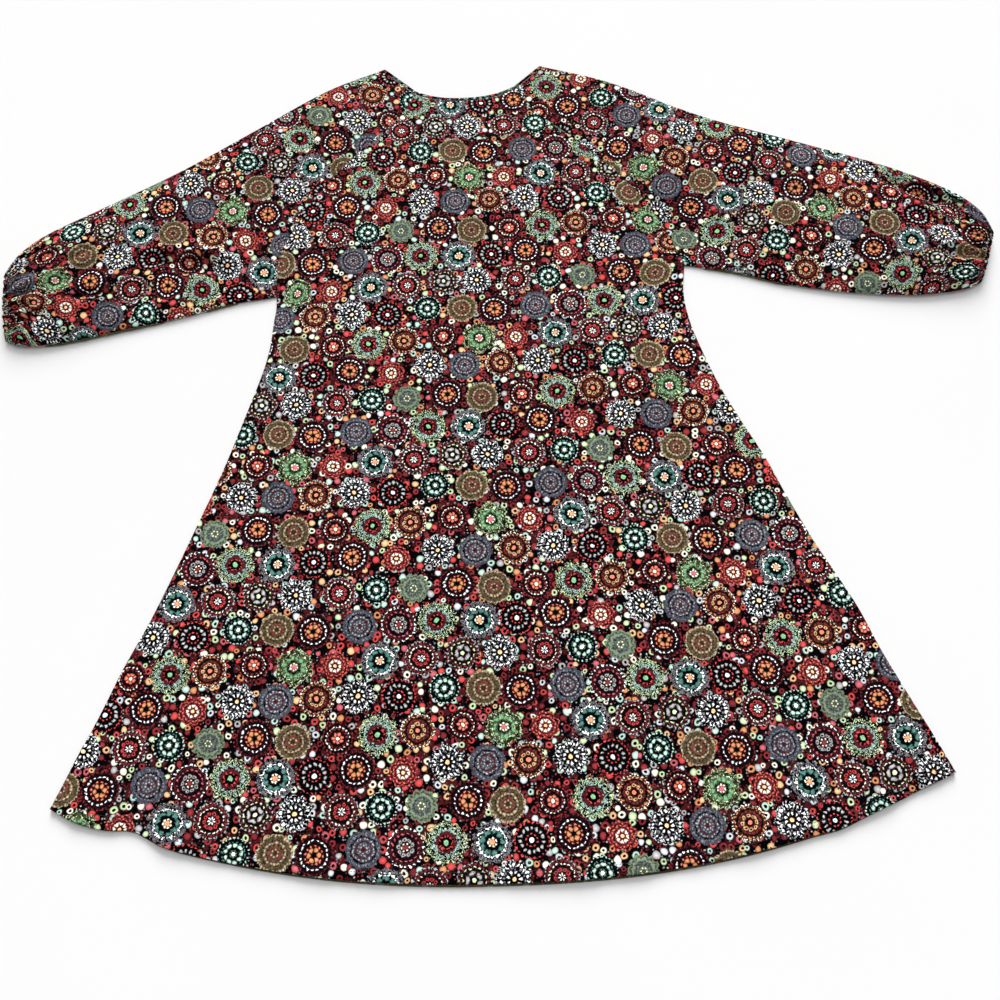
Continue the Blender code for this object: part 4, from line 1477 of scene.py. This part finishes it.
# The rolled allowance: the wrong side's yarn, its print darkened further as painted shade.
rolled_side_with_painted_shade = cloth_material("rolled seam allowance with painted shade", painted_shade_factor=0.8, fading=0.80)
thread = thread_material()
for piece in [back_panel, front_panel] + list(sleeves.values()) + list(casings.values()):
    piece.data.materials.append(right_side)
    piece.data.materials.append(wrong_side_with_painted_shade)
neck_binding.data.materials.append(binding_with_painted_shade)
for roll in rolls:
    roll.data.materials.append(rolled_side_with_painted_shade)
for row in stitches:
    row.data.materials.append(thread)

# %% [markdown]
# ## Table, light and camera
# A white table, so white that it meets the background, and a broad soft light above the neck end:
# its shade falls just below the sleeves and the hem. The camera has a normal lens, tilted 19
# degrees from straight down, at the place that the garment's outline gives.

# %% Floor
FLOOR_SIZE = 8.0
FLOOR_DROP = 0.0003


def make_floor():
    shape = bmesh.new()
    bmesh.ops.create_grid(shape, x_segments=8, y_segments=8, size=FLOOR_SIZE / 2)
    mesh = bpy.data.meshes.new("white_table")
    shape.to_mesh(mesh)
    shape.free()
    floor = bpy.data.objects.new("white_table", mesh)
    floor.location.z = -FLOOR_DROP
    bpy.context.scene.collection.objects.link(floor)
    material, surface, wire = new_material("white table", roughness=0.9, specular=0.1)
    place = wire.node("ShaderNodeTexCoord", None, None, "Object")
    grain = place.node("ShaderNodeTexNoise", None, {"Vector": place, "Scale": 3.0})
    colour = mixed("RGBA", grain, (0.90, 0.90, 0.90, 1.0), (0.92, 0.92, 0.92, 1.0))
    colour.feed(surface["Base Color"])
    mesh.materials.append(material)
    return floor


floor = make_floor()

# %% Lights, world and camera
scene = bpy.context.scene
scene.view_settings.view_transform = "Standard"
scene.view_settings.look = "None"


def add_soft_light(name, elevation, heading, spread, strength):
    """A distant light as broad as a studio window; angles in degrees, heading 0 is the neck end."""
    light = bpy.data.lights.new(name, "SUN")
    light.angle = math.radians(spread)
    light.energy = strength
    lamp = bpy.data.objects.new(name, light)
    up, side = math.radians(elevation), math.radians(heading)
    toward = Vector((math.sin(side) * math.cos(up), math.cos(side) * math.cos(up), math.sin(up)))
    lamp.rotation_euler = toward.to_track_quat("Z", "Y").to_euler()
    lamp.location = toward * 3
    scene.collection.objects.link(lamp)


add_soft_light("window at the neck end", elevation=25.0, heading=6.0, spread=30.0, strength=4.02)
add_soft_light("ceiling panel", elevation=60.0, heading=6.0, spread=50.0, strength=0.79)
world = bpy.data.worlds.new("studio")
world.use_nodes = True
walls = world.node_tree.nodes["Background"].inputs
walls["Color"].default_value = (1.0, 1.0, 1.0, 1.0)
walls["Strength"].default_value = 0.325
scene.world = world

LENS = 36.0               # millimetres, on a frame as wide
CAMERA_PLACE = (-0.0128, -0.6531, 1.074)
CAMERA_TILT = 19.0        # degrees from straight down
CAMERA_TURN = -3.6
lens = bpy.data.cameras.new("camera")
lens.lens = LENS
lens.sensor_width = LENS
camera = bpy.data.objects.new("camera", lens)
camera.location = CAMERA_PLACE
camera.rotation_euler = (math.radians(CAMERA_TILT), 0.0, math.radians(CAMERA_TURN))
scene.collection.objects.link(camera)
scene.camera = camera

# %% [markdown]
# ## Tie the cloth to the frame
# Each piece rides on the one body and stands for its solid. The rolls and stitches go with the
# sheet they are on.

# %% Ride and replace
for piece, node in PIECE_NODES:
    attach(piece, "root")
    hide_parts(node)
for piece in rolls + stitches:
    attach(piece, "root")
